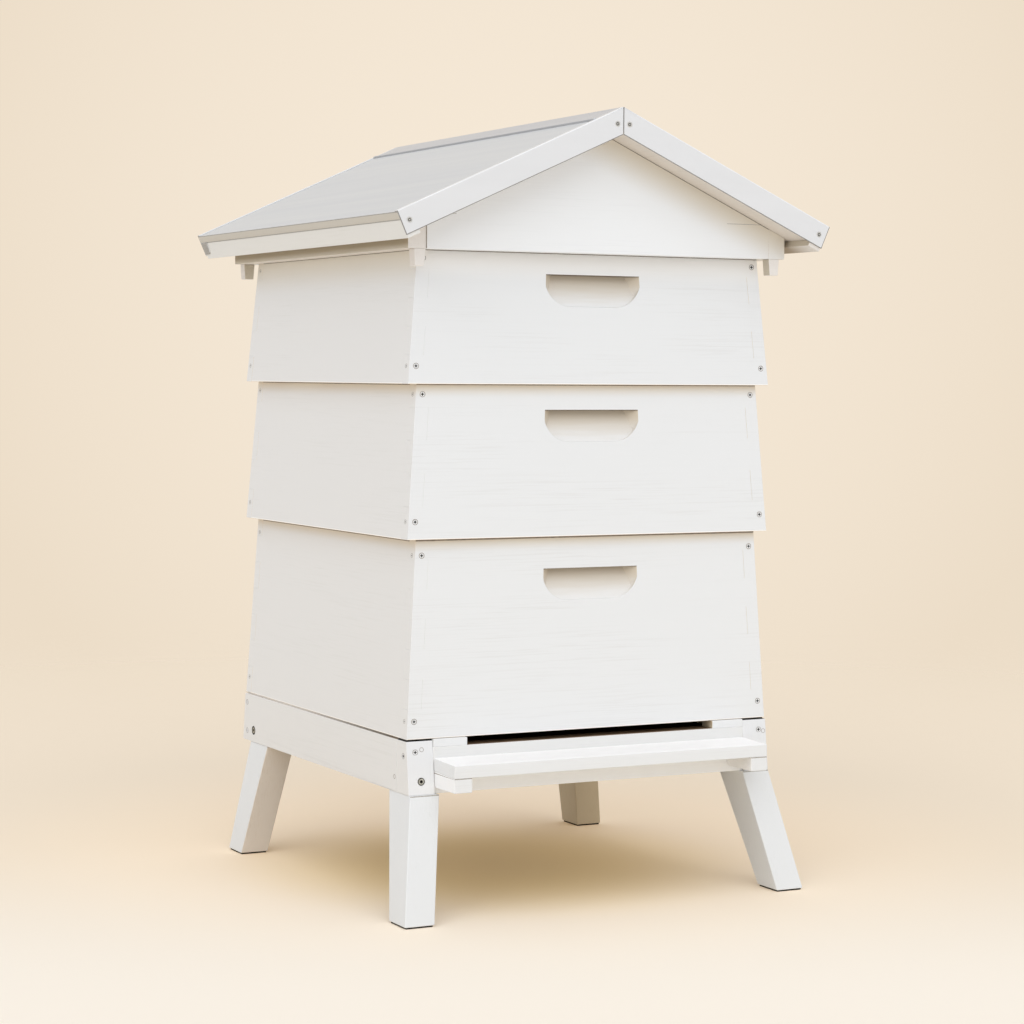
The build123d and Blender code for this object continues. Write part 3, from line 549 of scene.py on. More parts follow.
# %% [markdown]
# ## Lines of another finish
#
# Grime fills a joint in a line about a millimetre wide, and the cut edge of a metal strip shows as a dark
# line. A texture would have to be placed along every joint. It is easier to cut such a line into the faces
# with two bisecting planes, since the band between them can then have a material of its own.

# %% Lines, and a board with rounded edges
CUT_SNAP = 0.02 * MM
BEYOND_BORDER = 5 * MM


def draw_line(shape, place, normal, breadth, index, wanted):
    """Cuts a band of faces behind a plane, and gives those that are wanted a material."""
    for depth in (0.0, breadth):
        bmesh.ops.bisect_plane(
            shape,
            geom=shape.verts[:] + shape.edges[:] + shape.faces[:],
            dist=CUT_SNAP,
            plane_co=place - normal * depth,
            plane_no=normal,
        )
    for face in shape.faces:
        depth = (place - face.calc_center_median()).dot(normal)
        if 0.0 < depth < breadth and wanted(face):
            face.material_index = index


def border_line(place, normal, breadth, index, wanted):
    """A line along the border of a face. It starts well outside, so that no sliver is cut at the border."""
    return place + normal * BEYOND_BORDER, normal, breadth + BEYOND_BORDER, index, wanted


def eased(node, materials, width, share=fully, finish=None, lines=()):
    """Stands in for a CAD piece, with rounded edges. The finish function gives a face its material."""
    shape = clean_copy(node)
    weights = shape.edges.layers.float.new("bevel_weight_edge")
    for edge in shape.edges:
        edge[weights] = edge_weight(edge, share)
    if finish is not None:
        for face in shape.faces:
            face.material_index = int(finish(face))
    for line in lines:
        draw_line(shape, *line)
    piece = put_in_scene(node + "_eased", shape, materials, body_of_node[node])
    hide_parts(node)
    return round_edges(piece, width)


print("a border line starts", round(BEYOND_BORDER / MM), "mm outside its face")

# %% [markdown]
# ## Which way a face looks
#
# In the editor, faces would be picked by hand to give them a finish. In a script, a small test picks them by
# where they look: outwards, sideways, up or down. Boards here lean and slope, so a face counts as looking
# along a direction when it is within 60 degrees of it, where the cosine of the angle is a half.

# %% Directions, and tests for faces
UP = Vector((0, 0, 1))
ACROSS = Vector((1, 0, 0))
FORWARDS = Vector((0, -1, 0))
BACKWARDS = Vector((0, 1, 0))
OUTWARDS = {"front": FORWARDS, "back": BACKWARDS, "left": -ACROSS, "right": ACROSS}
ROUGHLY = 0.5


def looking(direction):
    """Picks the faces that look roughly along a direction."""
    return lambda face: face.normal.dot(direction) > ROUGHLY


def looks_sideways(face):
    return abs(face.normal.x) > ROUGHLY


def looks_forward_or_back(face):
    return abs(face.normal.y) > ROUGHLY


looks_up = looking(UP)
looks_down = looking(-UP)
print("sides of a lift:", list(OUTWARDS))

# %% [markdown]
# ## Handholds
#
# The front and back of each lift have a scoop for the fingers. Its paint is darker just under its top edge,
# as painted shade from the top of the scoop, and white at its foot. The paint goes by height, in two steps:
# a wide soft painted shade and a narrow dark line of painted shade in the corner. A noise along the board
# makes both start unevenly.

# %% Paint that darkens into a handhold
HOLD_FOOT = linear("EAE9E7")
# Painted shade under the handhold's top edge, and darker painted shade in its corner.
HOLD_SHADE = linear("D0C2AC")
HOLD_CORNER = linear("7A6C5C")
HOLD_SHADE_DEPTH = 44 * MM
HOLD_CORNER_DEPTH = 1.6 * MM
EDGE_NOISE_LENGTH = 60 * MM
EDGE_NOISE_WIDTH = 5 * MM
UNEVEN = 0.2


def handhold_paint(tier, top_z):
    """White paint with painted shade just under the top edge of a handhold, and white at its foot."""
    material, tree, shader = new_material(f"grubby_paint_in_the_{tier}_handhold", Roughness=0.55)
    place = add(tree, "ShaderNodeTexCoord").outputs["Object"]
    height = add(tree, "ShaderNodeSeparateXYZ", {0: place}).outputs["Z"]
    streaks = along_grain(tree, "x", EDGE_NOISE_LENGTH, EDGE_NOISE_WIDTH)
    edge_noise = add(tree, "ShaderNodeTexNoise", {"Vector": streaks, "Scale": 1.0}).outputs["Fac"]
    colour = HOLD_FOOT
    for tone, depth in ((HOLD_SHADE, HOLD_SHADE_DEPTH), (HOLD_CORNER, HOLD_CORNER_DEPTH)):
        lowest = top_z - (1 + UNEVEN) * depth
        highest = top_z - (1 - UNEVEN) * depth
        start = add(tree, "ShaderNodeMapRange", {"Value": edge_noise, "To Min": lowest, "To Max": highest})
        colour = turning(tree, height, (start.outputs["Result"], top_z), colour, tone, "SMOOTHSTEP")
    fill(tree, shader, {"Base Color": colour})
    return material


print("a handhold is shadowed for", round(HOLD_SHADE_DEPTH / MM), "mm under its top edge")

# %% [markdown]
# ## Finger joints and scoops
#
# The lifts' corners are finger joints, glued, filled and painted over. On the fronts the edges of the
# fingers are hardly rounded at all, and on the sides a little more. They are told from the long edges by
# their length. The faces of a handhold are told by their place near the middle of the board, and by not
# lying in its outer plane.

# %% Edges of the fingers, and faces of a handhold
FINGER_EDGE = (9 * MM, 62 * MM)
FINGER_ON_FRONT = 0.1
FINGER_ON_SIDE = 0.6
HOLD_REACH = 80 * MM
HOLD_CLEAR = 12 * MM
NEARLY = 0.9
SAME_PLANE = 0.999


def finger_share(edge):
    """Of a finger joint's edges, those in a side of the lift are rounded more than those in its front."""
    if not FINGER_EDGE[0] < edge.calc_length() < FINGER_EDGE[1]:
        return 1.0
    middle_x = edge.verts[0].co.x + edge.verts[1].co.x
    in_front = any(looks_forward_or_back(face) for face in edge.link_faces)
    in_side = any(face.normal.x * math.copysign(1, middle_x) > ROUGHLY for face in edge.link_faces)
    return FINGER_ON_FRONT if in_front and not in_side else FINGER_ON_SIDE


def handhold_faces(board, outwards):
    """Middle and top of a handhold's faces: near the board's middle, not in its outer plane or inside."""
    shape = clean_copy(board)
    outside = [face for face in shape.faces if face.normal.dot(outwards) > NEARLY]
    outer = max(outside, key=lambda face: face.calc_area())
    low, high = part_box(board)
    found = []
    for face in shape.faces:
        middle = face.calc_center_median()
        inner = low.z + HOLD_CLEAR < middle.z < high.z - HOLD_CLEAR and abs(middle.x) < HOLD_REACH
        if inner and face.normal.dot(outer.normal) < SAME_PLANE and face.normal.dot(outwards) > -ROUGHLY:
            found.append((middle, max(vert.co.z for vert in face.verts)))
    shape.free()
    return found


print("a handhold has", len(handhold_faces("lower_lift_front", FORWARDS)), "faces")

# %% [markdown]
# ## The lifts
#
# The three lifts lean inwards like the tiers of a pagoda, and each stands on the rim of the one below. Their
# boards are painted outside and left bare inside and underneath, so faces that look into the hive or lie at
# the foot get the pine. Where the next lift sits on a rim, a thin dark line is painted shade, and the paint
# below it fades into a darker, warmer tone as painted shade, while the upper lift's front fades into a
# lighter tone under the gable as painted light. A bright line along the lower edges is a painted highlight.
# Faces that look sideways, fingers included, get the sides' copy of the paint, a touch darker and warmer as
# painted shade, so the paint goes by where a face looks.

# %% Twelve lift boards
BOARD_ROUND = 0.8 * MM
HIGHLIGHT_BREADTH = 1.4 * MM
HAIR = 0.1 * MM
# A tone of painted shade and one of painted light, into which the paint fades just under a cover.
SHADE_TONE = linear("E1D8C8")
LIGHT_TONE = linear("FCF8F2")
TIERS = ("lower", "middle", "upper")
COVER = {"lower": "middle_lift_front", "middle": "upper_lift_front", "upper": "gable_front"}
# A thin dark line of painted shade on the rim, where the next lift sits.
SHADE_LINE_BREADTH = 4 * MM
SHADE_LINE_SHOWN = {
    "lower": {"x": 2.3 * MM, "y": 3.2 * MM},
    "middle": {"x": 1.2 * MM, "y": 1.2 * MM},
    "upper": {"x": 0.6 * MM, "y": 0.6 * MM},
}
# How far the paint fades: into painted shade under each cover, and into painted light on the upper lift's
# front under the gable.
PAINTED_FADE = {
    "lower": {"x": (SHADE_TONE, 18 * MM), "y": (SHADE_TONE, 18 * MM)},
    "middle": {"x": (SHADE_TONE, 18 * MM), "y": (SHADE_TONE, 18 * MM)},
    "upper": {"x": (LIGHT_TONE, 40 * MM), "y": (SHADE_TONE, 48 * MM)},
}

for tier in TIERS:
    cover_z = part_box(COVER[tier])[0].z
    hold_top = max(top for middle, top in handhold_faces(f"{tier}_lift_front", FORWARDS))
    hold_paint = handhold_paint(tier, hold_top)
    tier_paint = {}
    for grain, (tone, reach) in PAINTED_FADE[tier].items():
        painted_fade = (tone, UP, cover_z - reach, cover_z)
        tier_paint[grain] = white_paint(f"white_satin_paint_{tier}_lift", grain, PAINT_SHADES[grain], painted_fade)
    for side, outwards in OUTWARDS.items():
        grain = "x" if side in ("front", "back") else "y"
        board = f"{tier}_lift_{side}"
        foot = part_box(board)[0].z + HAIR
        rim = UP * (cover_z + SHADE_LINE_BREADTH - SHADE_LINE_SHOWN[tier][grain])
        holds = [middle for middle, top in handhold_faces(board, outwards)] if grain == "x" else []

        def board_finish(face):
            middle = face.calc_center_median()
            if face.normal.dot(outwards) < -ROUGHLY or middle.z < foot:
                return 1
            if any((middle - hold).length < HAIR for hold in holds):
                return 3
            # Faces that look sideways get the sides' copy, a touch darker and warmer as painted shade.
            return 4 if looks_sideways(face) else 0

        finishes = [tier_paint["x"], pine[grain], grime_and_shade, hold_paint, tier_paint["y"], foot_highlight_paint]
        # The rim's line of painted shade, and a painted highlight along the foot.
        rim_shade_line = (rim, UP, SHADE_LINE_BREADTH, 2, looking(outwards))
        highlight_line = border_line(UP * foot, -UP, HIGHLIGHT_BREADTH, 5, looking(outwards))
        eased(board, finishes, BOARD_ROUND, finger_share, board_finish, [rim_shade_line, highlight_line])
    print(tier, "lift, covered from", round(cover_z, 4), "up, handhold top at", round(hold_top, 4))

# %% [markdown]
# ## Rails, posts and slides
#
# Two side rails, a back rail and two front posts carry the lower lift. They are painted pine with the grain
# along their length, and end in a groove and a tongue that the lift hides. The tongue is left bare. Along
# the rails the groove's paint fades towards the front into painted shade, with grime as painted shade near
# the front corners and black painted shade on the posts, in the gap under the lift. The slides that narrow
# the entrance are stained at their inner ends by the bees.

# %% The base under the lower lift
GROOVE_HEIGHT = 2.2 * MM
DARK_GROOVE = 22 * MM
GROOVE_SHADE = linear("8C857B")
GROOVE_FADE = -120 * MM
seat_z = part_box("lower_lift_front")[0].z - HAIR
groove_z = seat_z - GROOVE_HEIGHT
rail_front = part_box("side_rail_left")[0].y


def in_groove(face):
    return groove_z < face.calc_center_median().z < seat_z


def base_finish(face):
    """The first finish is the paint, the second, painted shade, fills the groove, and the last is bare,
    under the lift.
    """
    return 3 if face.calc_center_median().z > seat_z else int(in_groove(face))


def post_finish(face):
    return base_finish(face) or 2 * looks_sideways(face)


# The groove's paint fades into painted shade towards the front.
groove_painted_fade = (GROOVE_SHADE, FORWARDS, GROOVE_FADE, -rail_front)
groove_paint = white_paint("shadowed_paint_in_the_groove", "y", PAINT_SHADES["y"], groove_painted_fade)
rail_finishes = [paint["y"], groove_paint, grime_and_shade, pine["y"]]
post_finishes = [paint["z"], dirt_and_shade, paint["y"], pine["z"]]
# Near the front corners the groove gets grime as painted shade.
dark_end = (BACKWARDS * (rail_front + DARK_GROOVE), BACKWARDS, DARK_GROOVE, 2, in_groove)
for side in ("left", "right"):
    eased(f"side_rail_{side}", rail_finishes, BOARD_ROUND, finish=base_finish, lines=[dark_end])
    eased(f"front_post_{side}", post_finishes, BOARD_ROUND, finish=post_finish)
    inner_end = looking(-OUTWARDS[side])
    eased(f"entrance_slide_{side}", [paint["x"], stained_pine], BOARD_ROUND, finish=inner_end)
eased("back_rail", [paint["x"], filler_and_shade, grime_and_shade, pine["x"]], BOARD_ROUND, finish=base_finish)
print("the lower lift sits at", round(seat_z, 4))

# %% [markdown]
# ## Legs and landing
#
# Legs are handled and knocked most, so their arrises are rounded a little more. Their paint is a touch
# darker as painted shade, and the inner faces of the back ones, under the hive, darker and warmer still as
# painted shade, most on the right. A thin grey line of painted shade runs where a front leg meets its post.
# The landing's top and the brackets' sides get a lighter paint as painted light. The sill behind it is
# brown on top, behind a white front strip, as painted shade inside the entrance slot.

# %% Legs, sill and landing board
LEG_ROUND = 1.2 * MM
POST_LINE = 1.6 * MM
BRACKET_LINE = 1.0 * MM
SILL_EDGE = 2 * MM
post_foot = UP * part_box("front_post_left")[0].z
landing_foot, landing_top = (UP * corner.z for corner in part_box("landing_board"))
sill_low, sill_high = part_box("front_rail")
sill_height = sill_high.z - landing_top.z


def leg_finish(face):
    """The third finish is for faces of a leg that look towards the middle of the hive."""
    middle = face.calc_center_median()
    towards_middle = face.normal.x * middle.x + face.normal.y * middle.y < 0
    return 2 if towards_middle and abs(face.normal.z) < ROUGHLY else 0


def bracket_finish(face):
    return 2 * looks_sideways(face)


def on_any_face(face):
    return True


# The inner faces of the back legs, under the hive, get painted shade, darkest on the right.
inner_faces_of_leg = {
    "front_left": leg_paint, "front_right": leg_paint, "back_left": painted_shade, "back_right": deep_leg_shade_paint
}
# A thin grey line of painted shade under each front post.
leg_line = (post_foot, UP, POST_LINE, 1, looking(FORWARDS))
for leg, inner_paint in inner_faces_of_leg.items():
    eased(f"leg_{leg}", [leg_paint, filler_and_shade, inner_paint], LEG_ROUND, finish=leg_finish, lines=[leg_line])

# Painted shade: the top of the sill is brown behind a white front strip, inside the entrance slot.
slot_shade = (BACKWARDS * (sill_low.y + SILL_EDGE), FORWARDS, sill_high.y - sill_low.y, 1, looks_up)
sill = (UP * sill_high.z, UP, sill_height, 2, looking(FORWARDS))
eased("front_rail", [front_rail_light_paint, slot_shade_pine, sill_paint], BOARD_ROUND, lines=[slot_shade, sill])
# Painted light on the landing's top.
eased("landing_board", [paint["x"], landing_light_paint], BOARD_ROUND, finish=looks_up)
bracket_line = (landing_foot, UP, BRACKET_LINE, 1, on_any_face)
# Painted light on the brackets' sides, and a grimy joint under the landing.
bracket_finishes = [paint["x"], grime_and_shade, landing_light_paint]
eased("landing_brackets", bracket_finishes, BOARD_ROUND, finish=bracket_finish, lines=[bracket_line])
print("the sill stands", round(sill_height / MM, 1), "mm above the landing")

# %% [markdown]
# ## The gables
#
# Under the metal, the roof is wood. Few of its joints are filled, so a grimy line runs where a gable meets
# the decks and the left rail, and a fainter one at the right rail. The gable is two boards glued edge to
# edge, and the filled seam shows only near its ends. Its paint is a lighter copy as painted light, and
# fades into painted shade near the right deck. Directions along a slope and square to it, one pair for
# each side, place these lines and the shade.

# %% Slopes and gables
ROOF_PITCH = math.radians(24.2)
DECK_UNDERSIDE = 26.2 * MM
DECK_LINE = 0.9 * MM
GABLE_SEAM = 44 * MM
SEAM_BREADTH = 0.6 * MM
SEAM_HIDDEN = (-205 * MM, 182 * MM)
JOINT_BREADTH = 1.3 * MM
FAINT_BREADTH = 0.5 * MM
FILLED_EDGE = 0.1
LEE_DEPTH = 48 * MM
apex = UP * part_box("roof_sheet_right")[1].z
roof_sides = []
for side in (-1, 1):
    square_to_slope = Vector((side * math.sin(ROOF_PITCH), 0, math.cos(ROOF_PITCH)))
    down_slope = Vector((side * math.cos(ROOF_PITCH), 0, -math.sin(ROOF_PITCH)))
    roof_sides.append((side, square_to_slope, down_slope))


def right_rail_share(edge):
    """The joint between the gable and the right rail is filled, so its edges are hardly rounded."""
    upright = abs(edge.verts[0].co.z - edge.verts[1].co.z) > NEARLY * edge.calc_length()
    return FILLED_EDGE if upright and edge.verts[0].co.x > 0 else 1.0


def facing(direction, side):
    """Picks the faces on one side of the ridge that look roughly along a direction."""
    return lambda face: face.normal.dot(direction) > ROUGHLY and face.calc_center_median().x * side > 0


# A fade into painted shade near the right deck, on a lighter copy of the paint, which is painted light.
in_the_lee = roof_sides[1][1]
lee_end = apex.dot(in_the_lee) - DECK_UNDERSIDE
painted_fade = (SHADE_TONE, in_the_lee, lee_end - LEE_DEPTH, lee_end)
gable_paint = white_paint("white_paint_with_painted_light_and_shade", "x", ("F0F0EF", "EBEBEA"), painted_fade)

for node, outwards in (("gable_front", FORWARDS), ("gable_back", BACKWARDS)):
    low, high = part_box(node)
    seam = UP * (low.z + GABLE_SEAM)

    def in_seam(face):
        return 0 < seam.z - face.calc_center_median().z < SEAM_BREADTH

    hidden = (ACROSS * SEAM_HIDDEN[1], ACROSS, SEAM_HIDDEN[1] - SEAM_HIDDEN[0], 0, in_seam)
    lines = [(seam, UP, SEAM_BREADTH, 2, looking(outwards)), hidden]
    for side, square_to_slope, down_slope in roof_sides:
        chosen = facing(outwards, side)
        rail_line = (JOINT_BREADTH, 1) if side < 0 else (FAINT_BREADTH, 3)
        deck_foot = apex - square_to_slope * DECK_UNDERSIDE
        lines.append(border_line(deck_foot, square_to_slope, DECK_LINE, 1, chosen))
        lines.append((ACROSS * (side * high.x), ACROSS * side, *rail_line, chosen))
    eased(node, [gable_paint, grime_and_shade, filler_and_shade, soffit_paint], BOARD_ROUND, right_rail_share, lines=lines)
print("roof apex at", round(apex.z, 4))

# %% [markdown]
# ## Fascias, roof rails, decks and blocks
#
# Fascias run along the eaves, rails and decks carry the metal, and four small blocks locate the roof on the
# top lift. Most of this lies under the eaves, and its paint is darker and warmer as painted shade, more on
# the right than on the left, and a faint line of painted shadow runs under the drip edge of the sheets. The
# rails' sides darken towards their top, and the foot of the right fascia towards the back, as painted
# shade.

# %% Wood along the eaves
DRIP_EDGE = 10 * MM
LEE_SHADE = linear("9C8A72")
LEE_REACH = 70 * MM
RAIL_SHADE = linear("A08F74")
RAIL_SHADE_HEIGHT = 8 * MM


def fascia_finish(face):
    """A fascia's inner face gets painted shade, and so do the ends and the foot of the right one."""
    middle = face.calc_center_median()
    if face.normal.x * middle.x < 0 and looks_sideways(face):
        return 3
    if middle.x > 0 and looks_down(face):
        return 4
    return 2 if middle.x > 0 and looks_forward_or_back(face) else 0


def roof_rail_finish(face):
    """The rails' sides, their undersides and the ends of the left one get painted shade."""
    if looks_sideways(face):
        return 1
    if looks_down(face):
        return 2
    return 3 if face.calc_center_median().x < 0 else 0


def block_finish(face):
    """The blocks' sides get painted shade, darker on the right, and so do the ends of the back ones."""
    middle = face.calc_center_median()
    if middle.y > 0 and looks_forward_or_back(face):
        return 2
    return looks_sideways(face) * (1 + (middle.x > 0))


verge_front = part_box("eave_fascias")[0].y
# The foot of the right fascia fades into painted shade towards the back.
foot_painted_fade = (LEE_SHADE, BACKWARDS, verge_front, verge_front + LEE_REACH)
foot_paint = white_paint("painted_shade_under_the_right_fascia", "y", ("DFDAD4", "D9D3CC"), foot_painted_fade)
fascia_finishes = [fascia_paint, filler_and_shade, soffit_paint, eave_paint, foot_paint]
# A faint line of painted shadow under the drip edge of the sheets.
drip_lines = [
    (apex - square_to_slope * DRIP_EDGE, square_to_slope, JOINT_BREADTH, 1, facing(down_slope, side))
    for side, square_to_slope, down_slope in roof_sides
]
eased("eave_fascias", fascia_finishes, BOARD_ROUND, finish=fascia_finish, lines=drip_lines)

rail_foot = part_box("roof_side_rails")[0].z
# The rails' sides fade into darker painted shade towards their top.
rail_painted_fade = (RAIL_SHADE, UP, rail_foot, rail_foot + RAIL_SHADE_HEIGHT)
rail_paint = white_paint("shadowed_paint_on_the_roof_rails", "y", EAVE_SHADES, rail_painted_fade)
roof_rail_finishes = [gable_paint, rail_paint, soffit_paint, block_paint]
eased("roof_side_rails", roof_rail_finishes, BOARD_ROUND, right_rail_share, roof_rail_finish)
for node in ("roof_deck_left", "roof_deck_right"):
    eased(node, [paint["y"], soffit_paint], BOARD_ROUND, finish=looks_down)
eased("roof_blocks", [block_paint, soffit_paint, eave_paint], BOARD_ROUND, finish=block_finish)
print("the roof rails come down to", round(rail_foot, 4))

# %% [markdown]
# ## The roof's metal
#
# The metal is only about a millimetre thick, so its edges are rounded by a third of that. The sheets are
# folded down over the eaves, where the drip edge is darker as painted shade, and the cap's hem is darker as
# painted shade along the ridge. The strips along the gable ends have a rounder fold along the top, with a
# painted highlight on it and on the back strip's inner face. A dark grey paints the shade under their lower
# edges and at the eaves, and marks the joint at the mitre, and the back pair is folded round the corner onto
# the fascia, in a tab painted grey as painted shade.

# %% Sheets, ridge cap and trims
METAL_ROUND = 0.4 * MM
FOLD_ROUND = 0.9 * MM
TRIM_DEPTH = 30 * MM
MITRE_BREADTH = 0.7 * MM
EDGE_BREADTH = 1.1 * MM
FOLD_BREADTH = 1.2 * MM
EAVE_LINE = 1.2 * MM
DULL_SATIN = (0.5, 0.6)
trim_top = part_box("verge_trim_back")[1]
eave_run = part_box("roof_sheet_right")[1].x / math.cos(ROOF_PITCH)
cap_metal = coated_metal("matt_grey_ridge_cap", ("C8C8C9", "C3C3C5"), MATT, "y")
hem_metal = coated_metal("shaded_hem_of_the_cap", ("BEBDBC", "B6B5B4"), DULL_SATIN, "y")
# Painted shade on the drip edge.
drip_metal = coated_metal("dusty_drip_edge", ("CEC7BB", "C7BFB2"), DULL_SATIN, "y")
# A painted highlight on the trims' fold and on the back trim's inner face.
fold_highlight_metal = coated_metal("polished_fold_of_aluminium", ("EEEEEE", "EAEAEA"), (0.25, 0.3), "x")


def fold_share(edge):
    """A trim's outer top edge is a fold, rounded fully. Its cut edges are rounded as the other metal is."""
    outermost = all(abs(vert.co.y) > trim_top.y - HAIR for vert in edge.verts)
    on_top = any(looks_up(face) for face in edge.link_faces)
    return 1.0 if outermost and on_top else METAL_ROUND / FOLD_ROUND


def ends_a_slope(face):
    return any(face.normal.dot(down_slope) > ROUGHLY for side, square_to_slope, down_slope in roof_sides)


for node, (side, square_to_slope, down_slope) in zip(("roof_sheet_left", "roof_sheet_right"), roof_sides):
    eave_line = border_line(apex, square_to_slope, EAVE_LINE, 2, facing(down_slope, side))
    sheet_finishes = [roof_metal, drip_metal, filler_and_shade]
    eased(node, sheet_finishes, METAL_ROUND, finish=looking(down_slope), lines=[eave_line])
eased("ridge_cap", [cap_metal, hem_metal], METAL_ROUND, finish=ends_a_slope)

for node, outwards in (("verge_trim_front", FORWARDS), ("verge_trim_back", BACKWARDS)):
    lines = []
    for side, square_to_slope, down_slope in roof_sides:
        chosen = facing(outwards, side)
        foot = apex - square_to_slope * TRIM_DEPTH
        lines.append(border_line(UP * trim_top.z, square_to_slope, FOLD_BREADTH, 2, chosen))
        lines.append(border_line(foot, -square_to_slope, EDGE_BREADTH, 1, chosen))
        lines.append(border_line(apex + down_slope * eave_run, down_slope, EDGE_BREADTH, 1, chosen))
        lines.append((ACROSS * (side * HAIR), ACROSS * -side, MITRE_BREADTH, 1, chosen))

    def trim_finish(face):
        # Faces that look up, and the inner face, get the painted highlight; the ends at the eaves get the
        # grey of painted shade.
        polished = looks_up(face) or face.normal.dot(outwards) < -ROUGHLY
        return 3 if ends_a_slope(face) else 2 * polished

    trim_finishes = [trim_metal, shade_and_joint_metal, fold_highlight_metal, filler_and_shade]
    eased(node, trim_finishes, FOLD_ROUND, fold_share, trim_finish, lines)
print("eave", round(eave_run, 4), "m down the slope")

# %% [markdown]
# ## Inside the hive
#
# Raise the lifts and the bees' own furniture appears: boxes, comb frames, the queen excluder and the crown
# board. Everything here is plain pine, wax or plywood. The frames run from front to back, and a box has two
# boards that run so and two that run across, so its grain goes by where a face looks.

# %% Boxes, frames, excluder and crown board
FRAME_ROUND = 0.6 * MM
BOXES = ("brood", "lower_super", "upper_super")
for node in ("floor_battens", "roof_battens", "queen_excluder_frame", *(f"{box}_frames" for box in BOXES)):
    eased(node, [pine["y"]], FRAME_ROUND)
for box in BOXES:
    eased(f"{box}_box", [pine["y"], pine["x"]], FRAME_ROUND, finish=looks_forward_or_back)
eased("crown_board", [plywood], FRAME_ROUND)
eased("floor_board", [floor_shade_pine], FRAME_ROUND)
print("boxes with comb frames:", len(BOXES))

# %% [markdown]
# ## Rings round the screws
#
# A screw is small in the picture, and what the eye finds is the dark recess in a pale head and the thin grey
# gap round it, a ring of painted shade. The gap is a ring, a small square spun about the screw's axis. All
# screws of a lift are one mesh, so each is found first as an island of faces that hang together.

# %% Islands of a mesh, and spun rings
RING_STEPS = 20
RING_HEIGHT = 0.4 * MM
SQUARE = ((0.0, -0.5), (1.0, -0.5), (1.0, 0.5), (0.0, 0.5))


def island(start):
    """All faces of the solid that a face belongs to."""
    found = {start}
    edge_of_search = [start]
    while edge_of_search:
        face = edge_of_search.pop()
        for edge in face.edges:
            for other in edge.link_faces:
                if other not in found:
                    found.add(other)
                    edge_of_search.append(other)
    return found


def spin_ring(shape, centre, axis, radius, size, index):
    """A thin square ring about an axis, in one of the materials."""
    side = axis.orthogonal().normalized()
    verts = []
    for out, along in SQUARE:
        verts.append(shape.verts.new(centre + side * (radius + out * size) + axis * (along * RING_HEIGHT)))
    edges = [shape.edges.new((verts[i], verts[i - 1])) for i in range(len(SQUARE))]
    before = set(shape.faces)
    bmesh.ops.spin(
        shape, geom=verts + edges, cent=centre, axis=axis, angle=math.tau, steps=RING_STEPS, use_merge=True
    )
    new_faces = [face for face in shape.faces if face not in before]
    bmesh.ops.recalc_face_normals(shape, faces=new_faces)
    for face in new_faces:
        face.material_index = index


print("a ring has", RING_STEPS * len(SQUARE), "faces")

# %% [markdown]
# ## Screws and bolts
#
# Dirt and shadow fill a recess, so its faces get a dark finish of their own, partly dirt and partly painted
# shade. A screw's axis is the long side of its box, and the recess is what lies just under the head, near
# that axis. Screws in the boards were painted with them, those at the back of the stand so thickly that only
# the ring of painted shade shows. Bolts are zinc, and those at the sides get a wider, darker ring of painted
# shade. The screws in the trims are sealed: a bright button closes the recess, with a dark washer round it.

# %% Screw heads with dark recesses and rings
RECESS_RADIUS = 2.7 * MM
RECESS_DEPTH = {"leg_bolts": 2.6 * MM}
HEAD_DEPTH = 1.2 * MM
# Every ring is painted shade round a head, and the driver's pit is dark as painted shade and dirt.
HEAD_RING = (3.1 * MM, 0.6 * MM)
DRIVER_PIT = (0.05 * MM, 1.15 * MM)
BUTTON_RING = (0.05 * MM, 0.9 * MM)
WASHER_RING = (0.95 * MM, 1.1 * MM)
BOLT_RING = (3.9 * MM, 0.4 * MM)
SIDE_BOLT_RING = (4.2 * MM, 1.9 * MM)


def rings_of(node, axis, covered):
    """Inner radius, breadth and material of the rings on a screw of that node, driven along that axis."""
    if node == "roof_screws":
        return [(*BUTTON_RING, 0), (*WASHER_RING, 2)]
    if node == "leg_bolts":
        return [(*(SIDE_BOLT_RING if axis == 0 else BOLT_RING), 1)]
    return [(*HEAD_RING, 2)] if covered else [(*HEAD_RING, 2), (*DRIVER_PIT, 1)]


def dress_screws(node, shape):
    """Darkens every screw's recess unless it is painted over, rings its head, and returns the heads."""
    done = set()
    heads = []
    rings = []
    for start in shape.faces:
        if start in done:
            continue
        screw = island(start)
        done |= screw
        points = [vert.co for face in screw for vert in face.verts]
        low = Vector([min(p[i] for p in points) for i in range(3)])
        high = Vector([max(p[i] for p in points) for i in range(3)])
        middle = (low + high) / 2
        axis = max(range(3), key=lambda i: high[i] - low[i])
        centre = middle.copy()
        centre[axis] = high[axis] if middle[axis] > 0 else low[axis]
        heads.append(centre)
        along = Vector([float(i == axis) for i in range(3)])
        covered = node == "stand_screws" and middle.y > 0
        rings += [(centre, along, *ring) for ring in rings_of(node, axis, covered)]
        if covered:
            continue
        for face in screw:
            away = face.calc_center_median() - centre
            sunk = abs(away[axis])
            away[axis] = 0
            shallow = HAIR < sunk < RECESS_DEPTH.get(node, HEAD_DEPTH)
            face.material_index = int(shallow and away.length < RECESS_RADIUS)
    for ring in rings:
        spin_ring(shape, *ring)
    return heads


head_finish = {
    "stand_screws": (paint["z"], filler_and_shade),
    "leg_bolts": (old_zinc, dirt_and_shade),
    "roof_screws": (zinc, washer),
    **{f"{tier}_lift_screws": (paint["x"], grime_and_shade) for tier in TIERS},
}
heads_of = {}
for node, (head, gap) in head_finish.items():
    shape = clean_copy(node)
    heads_of[node] = dress_screws(node, shape)
    piece = put_in_scene(
        node + "_dressed", shape, [head, dirt_and_shade, gap], body_of_node[node]
    )
    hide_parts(node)
    print(node, len(heads_of[node]))

